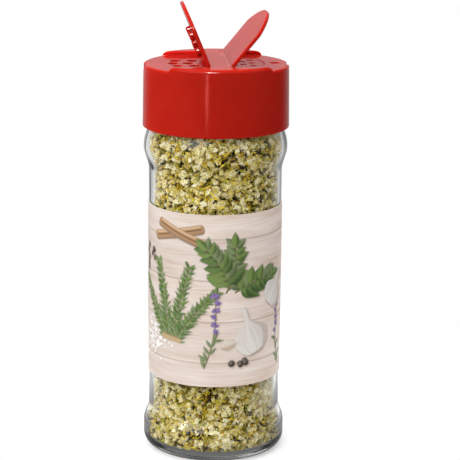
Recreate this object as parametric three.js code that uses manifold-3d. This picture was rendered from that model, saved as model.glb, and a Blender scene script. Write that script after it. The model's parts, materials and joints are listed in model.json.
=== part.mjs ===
// Spice shaker: a glass jar with a wrap-round label and a fill of coarse herb salt,
// closed by a one-piece moulded cap. Two flaps swing on living hinges either side of
// a bridge: one covers large shaker holes with plug pegs, the other fine sprinkle holes.
// Millimetres, +Z up, origin at the centre of the jar's base.

import * as THREE from 'three';
import { mergeVertices } from 'three/addons/utils/BufferGeometryUtils.js';
import Module from 'manifold-3d';

const wasm = await Module();
wasm.setup();

// Facets
const roundSteps = 48;
const holeSteps = 20;
const flareSteps = 4;
const arcSteps = 4;
const filletSteps = 2;
const tipSteps = 10;
const filmSteps = 10;

// Glass jar
const jarHeight = 125.4;
const panelDiameter = 42.8;
const baseBeadDiameter = 46.2;
const shoulderBeadDiameter = 46.1;
const neckDiameter = 40.2;
const glassWall = 1.4;
const glassFloor = 2.4;
const baseBeadTop = 8.2;
const panelBottom = 14.3;
const heelRadius = 4.2;
const innerHeelRadius = 2.6;
const baseRecessDiameter = 32;
const baseRecessDepth = 0.9;
const neckLength = 16.9;
const shoulderRise = 8.0;
const shoulderFlare = 7.5;
const jarRimRadius = 0.6;

// Label
const labelBottomMargin = 11.5;
const labelTopMargin = 10.7;
const labelThickness = 0.15;
const labelGap = 0.12;
const labelSeam = 2.0;

// Fill
const headspace = 11.4;
const fillCrown = 1.6;
const fillClearance = 0.3;
const fillEdgeRadius = 1.2;
const grainPitch = 6.6;
const grainHollow = 0.6;

// Cap body
const threadRoom = 1.6;
const capWall = 1.5;
const capDraft = 0.3;
const skirtLipClearance = 0.75;
const capSeatGap = 0.3;
const deckThickness = 1.3;
const deckEdgeRadius = 0.7;
const rimEdgeRadius = 1.2;
const rimInnerRounding = 0.35;
const rimEndReach = 16.1;
const skirtLipRadius = 0.5;
const pocketHalfWidth = 16.6;
const sealRingDepth = 1.8;
const sealRingWall = 0.9;
const sealRingClearance = 0.35;
const fingerNotchRadius = 12;
const fingerNotchDepth = 0.8;
const fingerNotchHeight = 2.2;

// Hinges and flaps
const hingeOffset = 3.1;
const filmRadius = 0.25;
const filmGap = 0.3;
const filmEndInset = 0.6;
const flapThickness = 1.15;
const flapSeatGap = 0.2;
const flapSideClearance = 0.25;
const flapCornerLength = 0.8;
const flapEdgeRounding = 0.25;
const shakerOpenAngle = 67.3;
const sprinkleOpenAngle = 50.5;

// Shaker holes and their plug pegs
const shakerHoleDiameter = 3.3;
const shakerOuterArc = 13.8;
const shakerInnerArc = 9.1;
const shakerHoleSpacing = 5.35;
const pegClearance = 0.35;
const pegLength = 1.5;
const pegChamfer = 0.4;

// Sprinkle holes, the rib that seals round them and the latch nub
const sprinkleHoleDiameter = 1.7;
const sprinkleFirstRow = 5.3;
const sprinkleRowPitch = 3.0;
const sprinkleHoleSpacing = 5.6;
const sealRibArc = 15.2;
const sealRibWidth = 0.4;
const sealRibHeight = 0.3;
const sealRibHalfAngle = 32;
const sealRibClearance = 0.2;
const latchReach = 18.6;
const latchDimpleDiameter = 3.2;
const latchDimpleDepth = 0.6;
const latchClearance = 0.3;

// Radii and heights that follow from the sizes above
const panelRadius = panelDiameter / 2;
const baseBeadRadius = baseBeadDiameter / 2;
const shoulderRadius = shoulderBeadDiameter / 2;
const neckRadius = neckDiameter / 2;
const boreRadius = neckRadius - glassWall;
const neckBase = jarHeight - neckLength;
const shoulderHeight = neckBase - shoulderRise;
const panelTop = shoulderHeight - shoulderFlare;
const shoulderDrop = shoulderRadius - neckRadius;
const shoulderArcRadius = (shoulderRise ** 2 + shoulderDrop ** 2) / (2 * shoulderDrop);
const labelBottom = panelBottom + labelBottomMargin;
const labelTop = panelTop - labelTopMargin;
const fillTop = jarHeight - headspace;
const deckUnderside = jarHeight + capSeatGap;
const deckTop = deckUnderside + deckThickness;
const flapUnderside = deckTop + flapSeatGap;
const capTop = flapUnderside + flapThickness;
const capTopRadius = neckRadius + threadRoom + capWall;
const capBottomRadius = capTopRadius + capDraft;
const capBottom = shoulderHeight + riseAt(capBottomRadius - capWall - skirtLipClearance);
const hingeHeight = capTop - filmRadius;
const bridgeHalfWidth = hingeOffset - filmRadius - filmGap;
const flapHalfWidth = pocketHalfWidth - flapSideClearance;
const flapTipRadius = capTopRadius;
const overlap = 0.4;

// How far above its widest point the shoulder has drawn in to a radius
function riseAt(radius) {
  const inset = shoulderArcRadius - shoulderRadius + radius;
  return Math.sqrt(Math.max(0, shoulderArcRadius ** 2 - inset ** 2));
}

// A closed three.js geometry as a solid that can be joined and cut
function toSolid(geometry) {
  const bare = geometry.clone();
  bare.deleteAttribute('normal');
  bare.deleteAttribute('uv');
  const merged = mergeVertices(bare);
  const corners = merged.index.array;
  const triangles = [];
  for (let i = 0; i < corners.length; i += 3) {
    const [a, b, c] = corners.slice(i, i + 3);
    if (a !== b && b !== c && c !== a) {
      triangles.push(a, b, c);
    }
  }
  const vertProperties = new Float32Array(merged.attributes.position.array);
  const triVerts = new Uint32Array(triangles);
  return new wasm.Manifold(new wasm.Mesh({ numProp: 3, vertProperties, triVerts }));
}

function toGeometry(solid) {
  const { vertProperties, triVerts } = solid.getMesh();
  const geometry = new THREE.BufferGeometry();
  geometry.setAttribute('position', new THREE.BufferAttribute(vertProperties, 3));
  geometry.setIndex(new THREE.BufferAttribute(triVerts, 1));
  geometry.computeVertexNormals();
  return geometry;
}

// A profile of [radius, height] pairs turned about Z
function turned(profile, steps = roundSteps) {
  const points = profile.map(([radius, height]) => new THREE.Vector2(radius, height));
  return toSolid(new THREE.LatheGeometry(points, steps).rotateX(Math.PI / 2));
}

// A flat outline raised from one height to another, with its edges rounded if asked
function raised(shape, bottom, top, rounding = 0) {
  const settings = {
    depth: top - bottom - 2 * rounding,
    curveSegments: tipSteps,
    bevelEnabled: rounding > 0,
    bevelThickness: rounding,
    bevelSize: rounding,
    bevelOffset: -rounding,
    bevelSegments: filletSteps,
  };
  return toSolid(new THREE.ExtrudeGeometry(shape, settings).translate(0, 0, bottom + rounding));
}

// An upright round bar between two heights
function bar(diameter, bottom, top, x, y, steps = holeSteps) {
  const length = top - bottom;
  const cylinder = new THREE.CylinderGeometry(diameter / 2, diameter / 2, length, steps);
  return toSolid(cylinder.rotateX(Math.PI / 2).translate(x, y, bottom + length / 2));
}

// Points along an arc, angles in degrees from the profile's outward direction
function arc(radius, height, size, from, to, steps = arcSteps) {
  return Array.from({ length: steps + 1 }, (_, i) => {
    const angle = THREE.MathUtils.degToRad(from + ((to - from) * i) / steps);
    return [radius + size * Math.cos(angle), height + size * Math.sin(angle)];
  });
}

function heights(from, to, steps) {
  return Array.from({ length: steps + 1 }, (_, i) => from + ((to - from) * i) / steps);
}

// The jar's outside radius at a height: base bead, straight panel, shoulder bead, neck
function jarRadius(z) {
  if (z < panelBottom) {
    const swell = 1 - THREE.MathUtils.smoothstep(z, baseBeadTop, panelBottom);
    return panelRadius + (baseBeadRadius - panelRadius) * swell;
  }
  if (z <= shoulderHeight) {
    const swell = THREE.MathUtils.smoothstep(z, panelTop, shoulderHeight);
    return panelRadius + (shoulderRadius - panelRadius) * swell;
  }
  if (z < neckBase) {
    const rise = z - shoulderHeight;
    return shoulderRadius - shoulderArcRadius + Math.sqrt(shoulderArcRadius ** 2 - rise ** 2);
  }
  return neckRadius;
}

// Heights where the jar's wall turns, from the top of the heel to the neck
const wallHeights = [
  ...heights(baseBeadTop, panelBottom, flareSteps),
  ...heights(panelTop, shoulderHeight, flareSteps),
  ...heights(shoulderHeight, neckBase, flareSteps).slice(1),
];

function buildJar() {
  const recessRadius = baseRecessDiameter / 2;
  const outside = [
    [0, baseRecessDepth],
    [recessRadius - baseRecessDepth, baseRecessDepth],
    [recessRadius, 0],
    ...arc(baseBeadRadius - heelRadius, heelRadius, heelRadius, -90, 0),
    ...wallHeights.map((z) => [jarRadius(z), z]),
    ...arc(neckRadius - jarRimRadius, jarHeight - jarRimRadius, jarRimRadius, 0, 90, filletSteps),
    ...arc(boreRadius + jarRimRadius, jarHeight - jarRimRadius, jarRimRadius, 90, 180, filletSteps),
  ];
  const corner = baseBeadRadius - glassWall - innerHeelRadius;
  const inside = [
    [0, glassFloor],
    ...arc(corner, glassFloor + innerHeelRadius, innerHeelRadius, -90, 0),
    ...wallHeights.map((z) => [jarRadius(z) - glassWall, z]),
  ];
  return turned([...outside, ...inside.reverse()]);
}

// The wrap stops short of a full turn and leaves its seam at the back
function buildLabel() {
  const inner = panelRadius + labelGap;
  const seamAngle = labelSeam / 2 / inner;
  const start = Math.PI / 2 + seamAngle;
  const end = Math.PI / 2 - seamAngle + 2 * Math.PI;
  const shape = new THREE.Shape();
  shape.absarc(0, 0, inner + labelThickness, start, end, false);
  shape.absarc(0, 0, inner, end, start, true);
  const settings = { depth: labelTop - labelBottom, curveSegments: roundSteps / 2, bevelEnabled: false };
  return toSolid(new THREE.ExtrudeGeometry(shape, settings).translate(0, 0, labelBottom));
}

// Coarse grains leave hollows between them, staggered up the fill's wall
function buildFill() {
  const floor = glassFloor + fillClearance;
  const rounding = innerHeelRadius - fillClearance;
  const corner = baseBeadRadius - glassWall - innerHeelRadius;
  const radius = boreRadius - fillClearance;
  const edgeHeight = fillTop - fillEdgeRadius;
  const columns = 2 * Math.round((2 * Math.PI * panelRadius) / grainPitch);
  const heel = [[0, floor], ...arc(corner, floor + rounding, rounding, -90, 0, filletSteps)];
  const bends = [floor + rounding, ...wallHeights, edgeHeight];
  const wall = bends.slice(1).flatMap((z, i) => {
    const rows = Math.ceil((2 * (z - bends[i])) / grainPitch);
    return heights(bends[i], z, rows).slice(1);
  });
  const edge = arc(radius - fillEdgeRadius, edgeHeight, fillEdgeRadius, 0, 90, filletSteps);
  const crown = [0.5, 0].map((share) => [radius * share, fillTop + fillCrown * (1 - share ** 2)]);
  const profile = [
    ...heel,
    ...wall.map((z) => [jarRadius(z) - glassWall - fillClearance, z]),
    ...edge.slice(1),
    ...crown,
  ];
  const points = profile.map(([r, z]) => new THREE.Vector2(r, z));
  const geometry = new THREE.LatheGeometry(points, columns).rotateX(Math.PI / 2);
  const place = geometry.attributes.position;
  for (let column = 0; column <= columns; column += 1) {
    for (let row = heel.length; row < heel.length + wall.length; row += 1) {
      const index = column * profile.length + row;
      const share = 1 - (grainHollow * ((column + row) % 2)) / profile[row][0];
      place.setXY(index, place.getX(index) * share, place.getY(index) * share);
    }
  }
  return toSolid(geometry);
}

// The skirt's outside radius at a height
function capRadius(z) {
  return capBottomRadius - (capDraft * (z - capBottom)) / (capTop - capBottom);
}

// Skirt and sifter deck, with a ring under the deck that plugs the jar's bore
function buildSkirt() {
  const ringOuter = boreRadius - sealRingClearance;
  const ringInner = ringOuter - sealRingWall;
  const ringBottom = deckUnderside - sealRingDepth;
  const lip = capRadius(capBottom) - skirtLipRadius;
  const edge = capRadius(deckTop) - deckEdgeRadius;
  return turned([
    [0, deckUnderside],
    [ringInner, deckUnderside],
    [ringInner, ringBottom],
    [ringOuter, ringBottom],
    [ringOuter, deckUnderside],
    [capRadius(deckUnderside) - capWall, deckUnderside],
    [capRadius(capBottom) - capWall, capBottom],
    ...arc(lip, capBottom + skirtLipRadius, skirtLipRadius, -90, 0, filletSteps),
    ...arc(edge, deckTop - deckEdgeRadius, deckEdgeRadius, 0, 90, filletSteps),
    [0, deckTop],
  ]);
}

// Bridge and both rims: an I-shaped outline cut to the cap's round edge
function buildRims() {
  const bottom = deckTop - deckThickness / 2;
  const edge = capRadius(capTop);
  const disc = turned([
    [0, bottom],
    [capRadius(bottom), bottom],
    ...arc(edge - rimEdgeRadius, capTop - rimEdgeRadius, rimEdgeRadius, 0, 90),
    [0, capTop],
  ]);
  const shape = new THREE.Shape();
  const reach = 2 * capBottomRadius;
  const corners = [
    [-rimEndReach, -reach],
    [rimEndReach, -reach],
    [rimEndReach, -pocketHalfWidth],
    [bridgeHalfWidth, -pocketHalfWidth],
    [bridgeHalfWidth, pocketHalfWidth],
    [rimEndReach, pocketHalfWidth],
    [rimEndReach, reach],
    [-rimEndReach, reach],
    [-rimEndReach, pocketHalfWidth],
    [-bridgeHalfWidth, pocketHalfWidth],
    [-bridgeHalfWidth, -pocketHalfWidth],
    [-rimEndReach, -pocketHalfWidth],
  ];
  shape.setFromPoints(corners.map(([x, y]) => new THREE.Vector2(x, y)));
  return disc.intersect(raised(shape, bottom, capTop, rimInnerRounding));
}

// Two arcs of shaker holes, given as [distance from the cap's centre line, y]
function shakerHoles() {
  return [shakerOuterArc, shakerInnerArc].flatMap((radius) =>
    [-1, 0, 1].map((side) => {
      const y = side * shakerHoleSpacing;
      return [Math.sqrt(radius ** 2 - y ** 2), y];
    }),
  );
}

// Staggered rows of sprinkle holes: three, two, three
function sprinkleHoles() {
  const rows = [
    [-1, 0, 1],
    [-0.5, 0.5],
    [-1, 0, 1],
  ];
  return rows.flatMap((row, i) =>
    row.map((side) => [sprinkleFirstRow + i * sprinkleRowPitch, side * sprinkleHoleSpacing]),
  );
}

// A band that follows an arc about the cap's centre, on the side of +X
function arcBand(radius, width, halfAngle, bottom, top) {
  const angle = THREE.MathUtils.degToRad(halfAngle);
  const shape = new THREE.Shape();
  shape.absarc(0, 0, radius + width / 2, -angle, angle, false);
  shape.absarc(0, 0, radius - width / 2, angle, -angle, true);
  return raised(shape, bottom, top);
}

function buildCapBody() {
  let body = buildSkirt().add(buildRims());
  const below = deckUnderside - overlap;
  const above = deckTop + overlap;
  for (const [reach, y] of shakerHoles()) {
    body = body.subtract(bar(shakerHoleDiameter, below, above, -reach, y));
  }
  for (const [reach, y] of sprinkleHoles()) {
    body = body.subtract(bar(sprinkleHoleDiameter, below, above, reach, y));
  }
  const grooveDepth = sealRibHeight - flapSeatGap + sealRibClearance;
  const grooveWidth = sealRibWidth + 2 * sealRibClearance;
  const grooveAngle = sealRibHalfAngle + THREE.MathUtils.radToDeg(sealRibClearance / sealRibArc);
  body = body.subtract(arcBand(sealRibArc, grooveWidth, grooveAngle, deckTop - grooveDepth, above));
  body = body.subtract(bar(latchDimpleDiameter, deckTop - latchDimpleDepth, above, latchReach, 0));
  const notchCentre = capRadius(deckTop) - fingerNotchDepth + fingerNotchRadius;
  for (const side of [-1, 1]) {
    const notchBottom = deckTop - fingerNotchHeight;
    const x = side * notchCentre;
    body = body.subtract(bar(2 * fingerNotchRadius, notchBottom, above, x, 0, roundSteps));
  }
  return body;
}

// A flap plate lying closed, seen from its hinge: origin on the hinge, +X to the tip
function buildFlapPlate() {
  const start = filmRadius + filmGap;
  const half = flapHalfWidth;
  const cornerX = Math.sqrt(flapTipRadius ** 2 - half ** 2) - hingeOffset;
  const turn = Math.asin(half / flapTipRadius) - flapCornerLength / flapTipRadius;
  const tipX = flapTipRadius * Math.cos(turn) - hingeOffset;
  const tipY = flapTipRadius * Math.sin(turn);
  const shape = new THREE.Shape();
  shape.moveTo(start, -half);
  shape.lineTo(cornerX - flapCornerLength, -half);
  shape.quadraticCurveTo(cornerX, -half, tipX, -tipY);
  shape.absarc(-hingeOffset, 0, flapTipRadius, -turn, turn, false);
  shape.quadraticCurveTo(cornerX, half, cornerX - flapCornerLength, half);
  shape.lineTo(start, half);
  const bottom = flapUnderside - hingeHeight;
  return raised(shape, bottom, bottom + flapThickness, flapEdgeRounding);
}

// Plug pegs under the shaker flap, one for each large hole
function buildShakerFlap() {
  const underside = flapUnderside - hingeHeight;
  const radius = shakerHoleDiameter / 2 - pegClearance;
  let flap = buildFlapPlate();
  for (const [reach, y] of shakerHoles()) {
    const peg = turned(
      [
        [0, underside - pegLength],
        [radius - pegChamfer, underside - pegLength],
        [radius, underside - pegLength + pegChamfer],
        [radius, underside + overlap],
        [0, underside + overlap],
      ],
      holeSteps,
    );
    flap = flap.add(peg.translate([reach - hingeOffset, y, 0]));
  }
  return flap;
}

// A seal rib and a latch nub under the sprinkle flap
function buildSprinkleFlap() {
  const underside = flapUnderside - hingeHeight;
  const root = underside + overlap;
  const rib = arcBand(sealRibArc, sealRibWidth, sealRibHalfAngle, underside - sealRibHeight, root);
  const nubDiameter = latchDimpleDiameter - 2 * latchClearance;
  const nubLength = flapSeatGap + latchDimpleDepth - latchClearance;
  const nub = bar(nubDiameter, underside - nubLength, root, latchReach - hingeOffset, 0);
  return buildFlapPlate().add(rib.translate([-hingeOffset, 0, 0])).add(nub);
}

function plastic(colour) {
  return new THREE.MeshStandardMaterial({ color: colour, roughness: 0.3, metalness: 0 });
}

function piece(name, geometry, material) {
  const mesh = new THREE.Mesh(geometry, material);
  mesh.name = name;
  return mesh;
}

// A flap on its hinge; side is -1 for the left of the bridge and 1 for the right
function hungFlap(name, solid, side, opening) {
  const hinge = new THREE.Group();
  hinge.position.set(side * hingeOffset, 0, hingeHeight);
  hinge.rotation.z = side < 0 ? Math.PI : 0;
  const flap = piece(name, toGeometry(solid), plastic('#bc2019'));
  flap.rotation.y = -THREE.MathUtils.degToRad(opening);
  hinge.add(flap);
  return hinge;
}

function hingeFilm(name, side) {
  const length = 2 * (flapHalfWidth - filmEndInset);
  const bead = new THREE.CylinderGeometry(filmRadius, filmRadius, length, filmSteps);
  const film = piece(name, toGeometry(toSolid(bead)), plastic('#c8332b'));
  film.position.set(side * hingeOffset, 0, hingeHeight);
  return film;
}

const glass = new THREE.MeshStandardMaterial({
  color: '#e6ecec',
  roughness: 0.05,
  metalness: 0,
  transparent: true,
  opacity: 0.35,
});
const paper = new THREE.MeshStandardMaterial({ color: '#e3c3a4', roughness: 0.6, metalness: 0 });
const herbs = new THREE.MeshStandardMaterial({ color: '#b0a464', roughness: 0.9, metalness: 0 });

const shaker = new THREE.Group();
shaker.add(
  piece('glass_jar', toGeometry(buildJar()), glass),
  piece('wrap_label', toGeometry(buildLabel()), paper),
  piece('spice_fill', toGeometry(buildFill()), herbs),
  piece('cap_body', toGeometry(buildCapBody()), plastic('#b92019')),
  hingeFilm('shaker_hinge_film', -1),
  hingeFilm('sprinkle_hinge_film', 1),
  hungFlap('shaker_flap', buildShakerFlap(), -1, shakerOpenAngle),
  hungFlap('sprinkle_flap', buildSprinkleFlap(), 1, sprinkleOpenAngle),
);

export default shaker;
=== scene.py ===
import json
import math

import bmesh
import bpy
import numpy as np
from mathutils import Matrix, Vector
from mathutils.geometry import delaunay_2d_cdt

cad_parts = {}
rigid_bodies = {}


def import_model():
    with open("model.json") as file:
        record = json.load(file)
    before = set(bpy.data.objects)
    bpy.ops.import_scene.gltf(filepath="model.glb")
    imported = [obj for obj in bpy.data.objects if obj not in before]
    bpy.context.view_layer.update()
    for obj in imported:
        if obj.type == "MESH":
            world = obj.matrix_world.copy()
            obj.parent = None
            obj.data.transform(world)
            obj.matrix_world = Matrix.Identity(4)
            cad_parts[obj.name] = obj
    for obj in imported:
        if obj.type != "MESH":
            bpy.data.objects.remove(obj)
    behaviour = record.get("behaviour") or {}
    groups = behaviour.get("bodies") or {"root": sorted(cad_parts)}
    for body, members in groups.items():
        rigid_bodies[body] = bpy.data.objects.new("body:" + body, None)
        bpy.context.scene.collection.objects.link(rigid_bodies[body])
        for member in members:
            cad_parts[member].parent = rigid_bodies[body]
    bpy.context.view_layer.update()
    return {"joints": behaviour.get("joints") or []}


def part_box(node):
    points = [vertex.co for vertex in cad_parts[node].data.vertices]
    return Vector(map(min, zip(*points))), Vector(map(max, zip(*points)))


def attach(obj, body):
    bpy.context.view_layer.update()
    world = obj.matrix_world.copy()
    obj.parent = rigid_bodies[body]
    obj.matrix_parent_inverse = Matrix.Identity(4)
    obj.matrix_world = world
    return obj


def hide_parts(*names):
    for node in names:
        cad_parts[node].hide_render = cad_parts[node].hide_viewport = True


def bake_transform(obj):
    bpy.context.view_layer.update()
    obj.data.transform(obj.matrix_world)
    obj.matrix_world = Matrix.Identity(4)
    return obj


# A spice shaker: glass jar, wrap label, coarse herb salt and a red cap with two hinged flaps.
# Shapes are worked out in millimetres in the frame's axes and scaled to metres as they are made.

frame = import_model()
MM = 0.001
TURN = 2 * math.pi


def node_box(node):
    """A CAD node's lowest and highest corners, in millimetres."""
    low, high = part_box(node)
    return np.array(low) / MM, np.array(high) / MM


def hinge_of(name):
    """A hinge's place in millimetres and how far its flap stands open at rest, in degrees."""
    joint = next(j for j in frame["joints"] if j["name"] == name)
    return np.array(joint["pos_m"]) / MM, -joint["range_deg"][0]


# Sizes from the frame
jar_high = node_box("glass_jar")[1]
label_low, label_high = node_box("wrap_label")
fill_high = node_box("spice_fill")[1]
cap_low, cap_high = node_box("cap_body")
shaker_hinge, shaker_opening = hinge_of("shaker_flap_hinge")
sprinkle_hinge, sprinkle_opening = hinge_of("sprinkle_flap_hinge")

# Glass jar
JAR_STEPS = 240
JAR_TOP = jar_high[2]
BASE_RADIUS = jar_high[0]
PANEL_RADIUS = 21.4
SHOULDER_RADIUS = 23.05
NECK_RADIUS = 20.1
GLASS_WALL = 1.4
GLASS_FLOOR = 2.4
BASE_BEAD_TOP = 8.2
PANEL_BOTTOM = 14.3
PANEL_TOP = 93.0
SHOULDER_HEIGHT = 100.5
NECK_BASE = 108.5
HEEL_RADIUS = 4.2
INNER_HEEL_RADIUS = 2.6
RECESS_RADIUS = 16.0
RECESS_DEPTH = 0.9
RECESS_SLOPE = 1.6
FIRST_RING = 3.0
RIM_RADIUS = 0.6
NECK_BLEND = 0.25
SEAM_HEIGHT = 0.05
SEAM_WIDTH = 0.6
SEAM_FADE = (5, 9)
WALL_WAVES = ((0.06, 3, 0.09, 0.0), (0.042, 5, -0.14, 1.3))
THREAD_START = 112.6
THREAD_PITCH = 4.2
THREAD_TURNS = 1.4
THREAD_HEIGHT = 0.8
THREAD_HALF_WIDTH = 1.0
THREAD_FADE = 0.5
BEAD_HEIGHT = 110.3
BEAD_RISE = 0.65
BEAD_CREST = 0.2
BEAD_HALF_WIDTH = 0.9
GLASS_TINT = (0.975, 0.98, 0.978)

# Fill
GRAIN_SEED = 41
FLAKE_STATIONS = 3
FLAKE_HALF_THICKNESS = 0.035
SLIVER_STATIONS = 3
SLIVER_SIDES = 5
GRAIN_GAP = 0.08
GRAIN_CELL = 1.2
GRAIN_LAYERS = ((0.1, GRAIN_CELL), (0.75, GRAIN_CELL), (1.5, 1.2 * GRAIN_CELL))
# Painted shade among the grains: the depths in millimetres over which a grain darkens, and the colour that
# darkens it
GRAIN_SHADE_DEPTHS = (0.35, 1.9)
GRAIN_SHADE = (0.14, 0.09, 0.015)
GRAIN_SHINE = 0.02
PATCH_WAVES = 6
PATCH_LENGTH = (8.0, 18.0)
PATCH_STRENGTH = 0.16
CORE_INSET = 2.3
CORE_STEPS = 96
CORE_ROWS = ((GLASS_FLOOR + CORE_INSET, 30, 24), (32, 78, 12), (80, 112, 28))
CORE_WAVES = ((0.25, 9, 1.7, 0.0), (0.25, 14, -2.3, 0.0))
CORE_TOP_RINGS = (14.0, 9.0, 4.0)
# Near-black tones of the core: herb dust in painted shade
DUST_SHADE_STOPS = ((0.3, (0.012, 0.007, 0.001)), (0.55, (0.05, 0.034, 0.004)), (0.75, (0.12, 0.085, 0.012)))
WALL_ZONES = ((3.0, 29.0), (79.0, 113.4))
SEAM_DEPTH = 0.8
FILL_TOP = 114.0
FILL_CROWN = fill_high[2] - FILL_TOP
BORE_RADIUS = NECK_RADIUS - GLASS_WALL

# Label
LABEL_RADIUS = label_high[0]
LABEL_INNER = PANEL_RADIUS + 0.03
LABEL_BOTTOM = label_low[2]
LABEL_TOP = label_high[2]
LABEL_SEAM = 2.0
LABEL_CELL = 0.24
PRINT_SHIFTS = (-2, 64.5, -68.5)
BOARD_HEIGHT = 13.6
BOARD_SHIFT = 37.0
# Painted light on the boards: lighter towards the right of the front and darker towards its left
PAINTED_LIGHT_DRIFT = 0.2
BOARD_TINT = (0.97, 1.03)
BOARD_STOPS = (
    (0.28, (0.6, 0.42, 0.32)),
    (0.45, (0.75, 0.62, 0.54)),
    (0.6, (0.84, 0.735, 0.67)),
    (0.75, (0.92, 0.84, 0.8)),
)
FIBRE_SHARE = 0.45
JOINT_SLOPE = -38.0
JOINT_STRENGTH = 0.6
JOINT_COLOUR = (0.33, 0.22, 0.16)
PAPER_COLOUR = (0.86, 0.85, 0.82)
INK_SEED = 12
INK_SOFT = 0.14
OUTSIDE = -9.0
SHADOW = (0.16, 0.1, 0.06)
CRUMB_SHADOW = (0.2, 0.13, 0.08)
LEAF_DROP = 0.45
BULB_DROP = 0.6
GREENS = (
    ((0.03, 0.07, 0.018), (0.2, 0.32, 0.09)),
    ((0.045, 0.1, 0.02), (0.3, 0.42, 0.12)),
    ((0.06, 0.1, 0.035), (0.34, 0.42, 0.2)),
)
PURPLES = ((0.1, 0.05, 0.2), (0.42, 0.3, 0.6))
PEPPER = ((0.025, 0.018, 0.014), (0.3, 0.25, 0.21))
CLOVE = ((0.5, 0.36, 0.24), (0.9, 0.86, 0.78))
GARLIC = ((0.42, 0.3, 0.24), (0.9, 0.87, 0.81))
GARLIC_BLUSH = (0.6, 0.42, 0.5)
GARLIC_ROOT = (0.4, 0.28, 0.16)
STALK = (0.16, 0.17, 0.05)
TWINE = (0.5, 0.36, 0.2)
TWINE_SHADE = (0.36, 0.24, 0.12)
# Strokes of a cinnamon stick: sideways offset, width and colour of shadow, body, lit edge and fold
BARK = (
    (-0.7, 2.6, (0.3, 0.2, 0.13)),
    (0.0, 2.6, (0.42, 0.24, 0.12)),
    (0.7, 0.7, (0.62, 0.42, 0.25)),
    (-0.2, 0.4, (0.2, 0.1, 0.05)),
)

# Cap
CAP_STEPS = 300
CAP_TOP = cap_high[2]
CAP_BOTTOM = cap_low[2]
CAP_BOTTOM_RADIUS = cap_high[0]
CAP_DRAFT = 0.3
CAP_RADIUS = CAP_BOTTOM_RADIUS - CAP_DRAFT
CAP_WALL = 1.5
CAP_INSIDE_ROWS = ((CAP_BOTTOM + 0.8, 112, 6), (112.3, 121.5, 36), (122.5, 125, 3))
DECK_TOP = 127.0
DECK_UNDERSIDE = 125.7
DECK_EDGE = 0.7
RIM_EDGE = 1.2
POCKET_HALF = 16.6
POCKET_CORNER = 0.6
BRIDGE_HALF = 2.55
WALL_ROUNDING = 0.45
WALL_SLOPE = 0.04
FOOT_ROUNDING = 0.22
LIP_ROUNDING = 0.5
INNER_LIP_ROUNDING = 0.3
SEAL_RING = (17.45, 18.35)
SEAL_RING_DEPTH = 1.8
SEAL_SLOPE = 0.05
SEAL_EDGE = 0.15
SEAL_STEPS = 120
NOTCH_RADIUS = 12.0
NOTCH_DEPTH = 0.8
# Rows from the notched edge out to the full skirt under it: height and share of the way out
NOTCH_LEDGE = (
    (125.6, 0.0), (125.1, 0.0), (124.95, 0.06), (124.85, 0.3), (124.8, 0.7), (124.76, 0.93), (124.7, 1.0),
)
SKIRT_TOP = 124.0
CAP_THREAD_START = 113.6
CAP_THREAD_HEIGHT = 0.55
CAP_THREAD_HALF_WIDTH = 0.8
SHAKER_HOLE = 1.65
SHAKER_ARCS = (13.8, 9.1)
SHAKER_SPACING = 5.35
SPRINKLE_HOLE = 0.85
SPRINKLE_ROWS = ((-1, 0, 1), (-0.5, 0.5), (-1, 0, 1))
SPRINKLE_FIRST_ROW = 5.3
SPRINKLE_PITCH = 3.0
SPRINKLE_SPACING = 5.6
HOLE_ROUNDING = 0.18
HOLE_STEPS = 40
RIB_ARC = 15.2
RIB_HALF_ANGLE = math.radians(24)
RIB_HALF_WIDTH = 0.2
RIB_HEIGHT = 0.3
RIB_LINES = (0.5, 0.85, 1.2)
GROOVE_HALF_WIDTH = 0.4
GROOVE_DEPTH = 0.3
GROOVE_LINES = (0.5, 0.66, 0.83, 1.0)
LATCH_REACH = 18.6
DIMPLE_RADIUS = 1.6
DIMPLE_DEPTH = 0.6
DIMPLE_WALL = (0.8, 1.05)
RED = ((0.41, 0.012, 0.006), (0.46, 0.0155, 0.0075))
# Brighter red for the wall behind the shaker deck: painted light
PAINTED_LIGHT_RED = ((0.6, 0.016, 0.011), (0.68, 0.02, 0.014))
# Paler red for the hinge films: a painted highlight along each hinge line
FILM_HIGHLIGHT_RED = ((0.55, 0.05, 0.04), (0.62, 0.08, 0.065))
PLATE_GLOW = (0.85, 0.03, 0.02)

# Flaps and hinge films
FLAP_UNDERSIDE = 127.2
FLAP_THICKNESS = 1.15
FLAP_ROOT = 0.55
FLAP_HALF = POCKET_HALF - 0.25
FLAP_CORNER = 0.8
FLAP_ROOT_CORNER = 0.4
FLAP_ROUNDING = 0.27
FLAP_TOP_ROUNDING = 0.3
PEG_RADIUS = 1.5
PEG_LENGTH = 1.5
PEG_CHAMFER = 0.4
PEG_FOOT = 0.15
PEG_FOOT_TURNS = (0.5, 1.0, TURN / 4)
PEG_HOLD = 0.06
NUB_RADIUS = 1.3
NUB_LENGTH = 0.5
NUB_CHAMFER = 0.2
FILM_REACH = 0.8
FILM_THICKNESS = 0.3
FILM_THINNING = 0.45
FILM_HALF_LENGTH = FLAP_HALF - 0.2
FILM_STEPS = 10
FILM_COLUMNS = 12
ARC_STEPS = 6

# Camera, in the photograph's frame
IMAGE_SIDE = 460
FOCAL_PIXELS = 1900.0
SENSOR_MM = 36.0
CAMERA_DISTANCE = 0.5995
CAMERA_HEIGHT = 0.2215
CAMERA_AZIMUTH = math.radians(-4.9)
CAMERA_PITCH = math.radians(13.98)
CAMERA_ROLL = math.radians(0.5)
SHIFT_PIXELS = 15.09

# Floor. A ramp gives two distances from the jar's axis in metres and the levels there.
FLOOR_RADIUS = 110.0
FLOOR_STEPS = 96
FLOOR_MIDDLE = (20.0 * MM, 60.0 * MM)
FLOOR_DROP = 0.00002
FLOOR_FADE = (70.0 * MM, 106.0 * MM)
FLOOR_COLOUR = (0.7, 0.7, 0.7)
FLOOR_GLOW = 0.2
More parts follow.
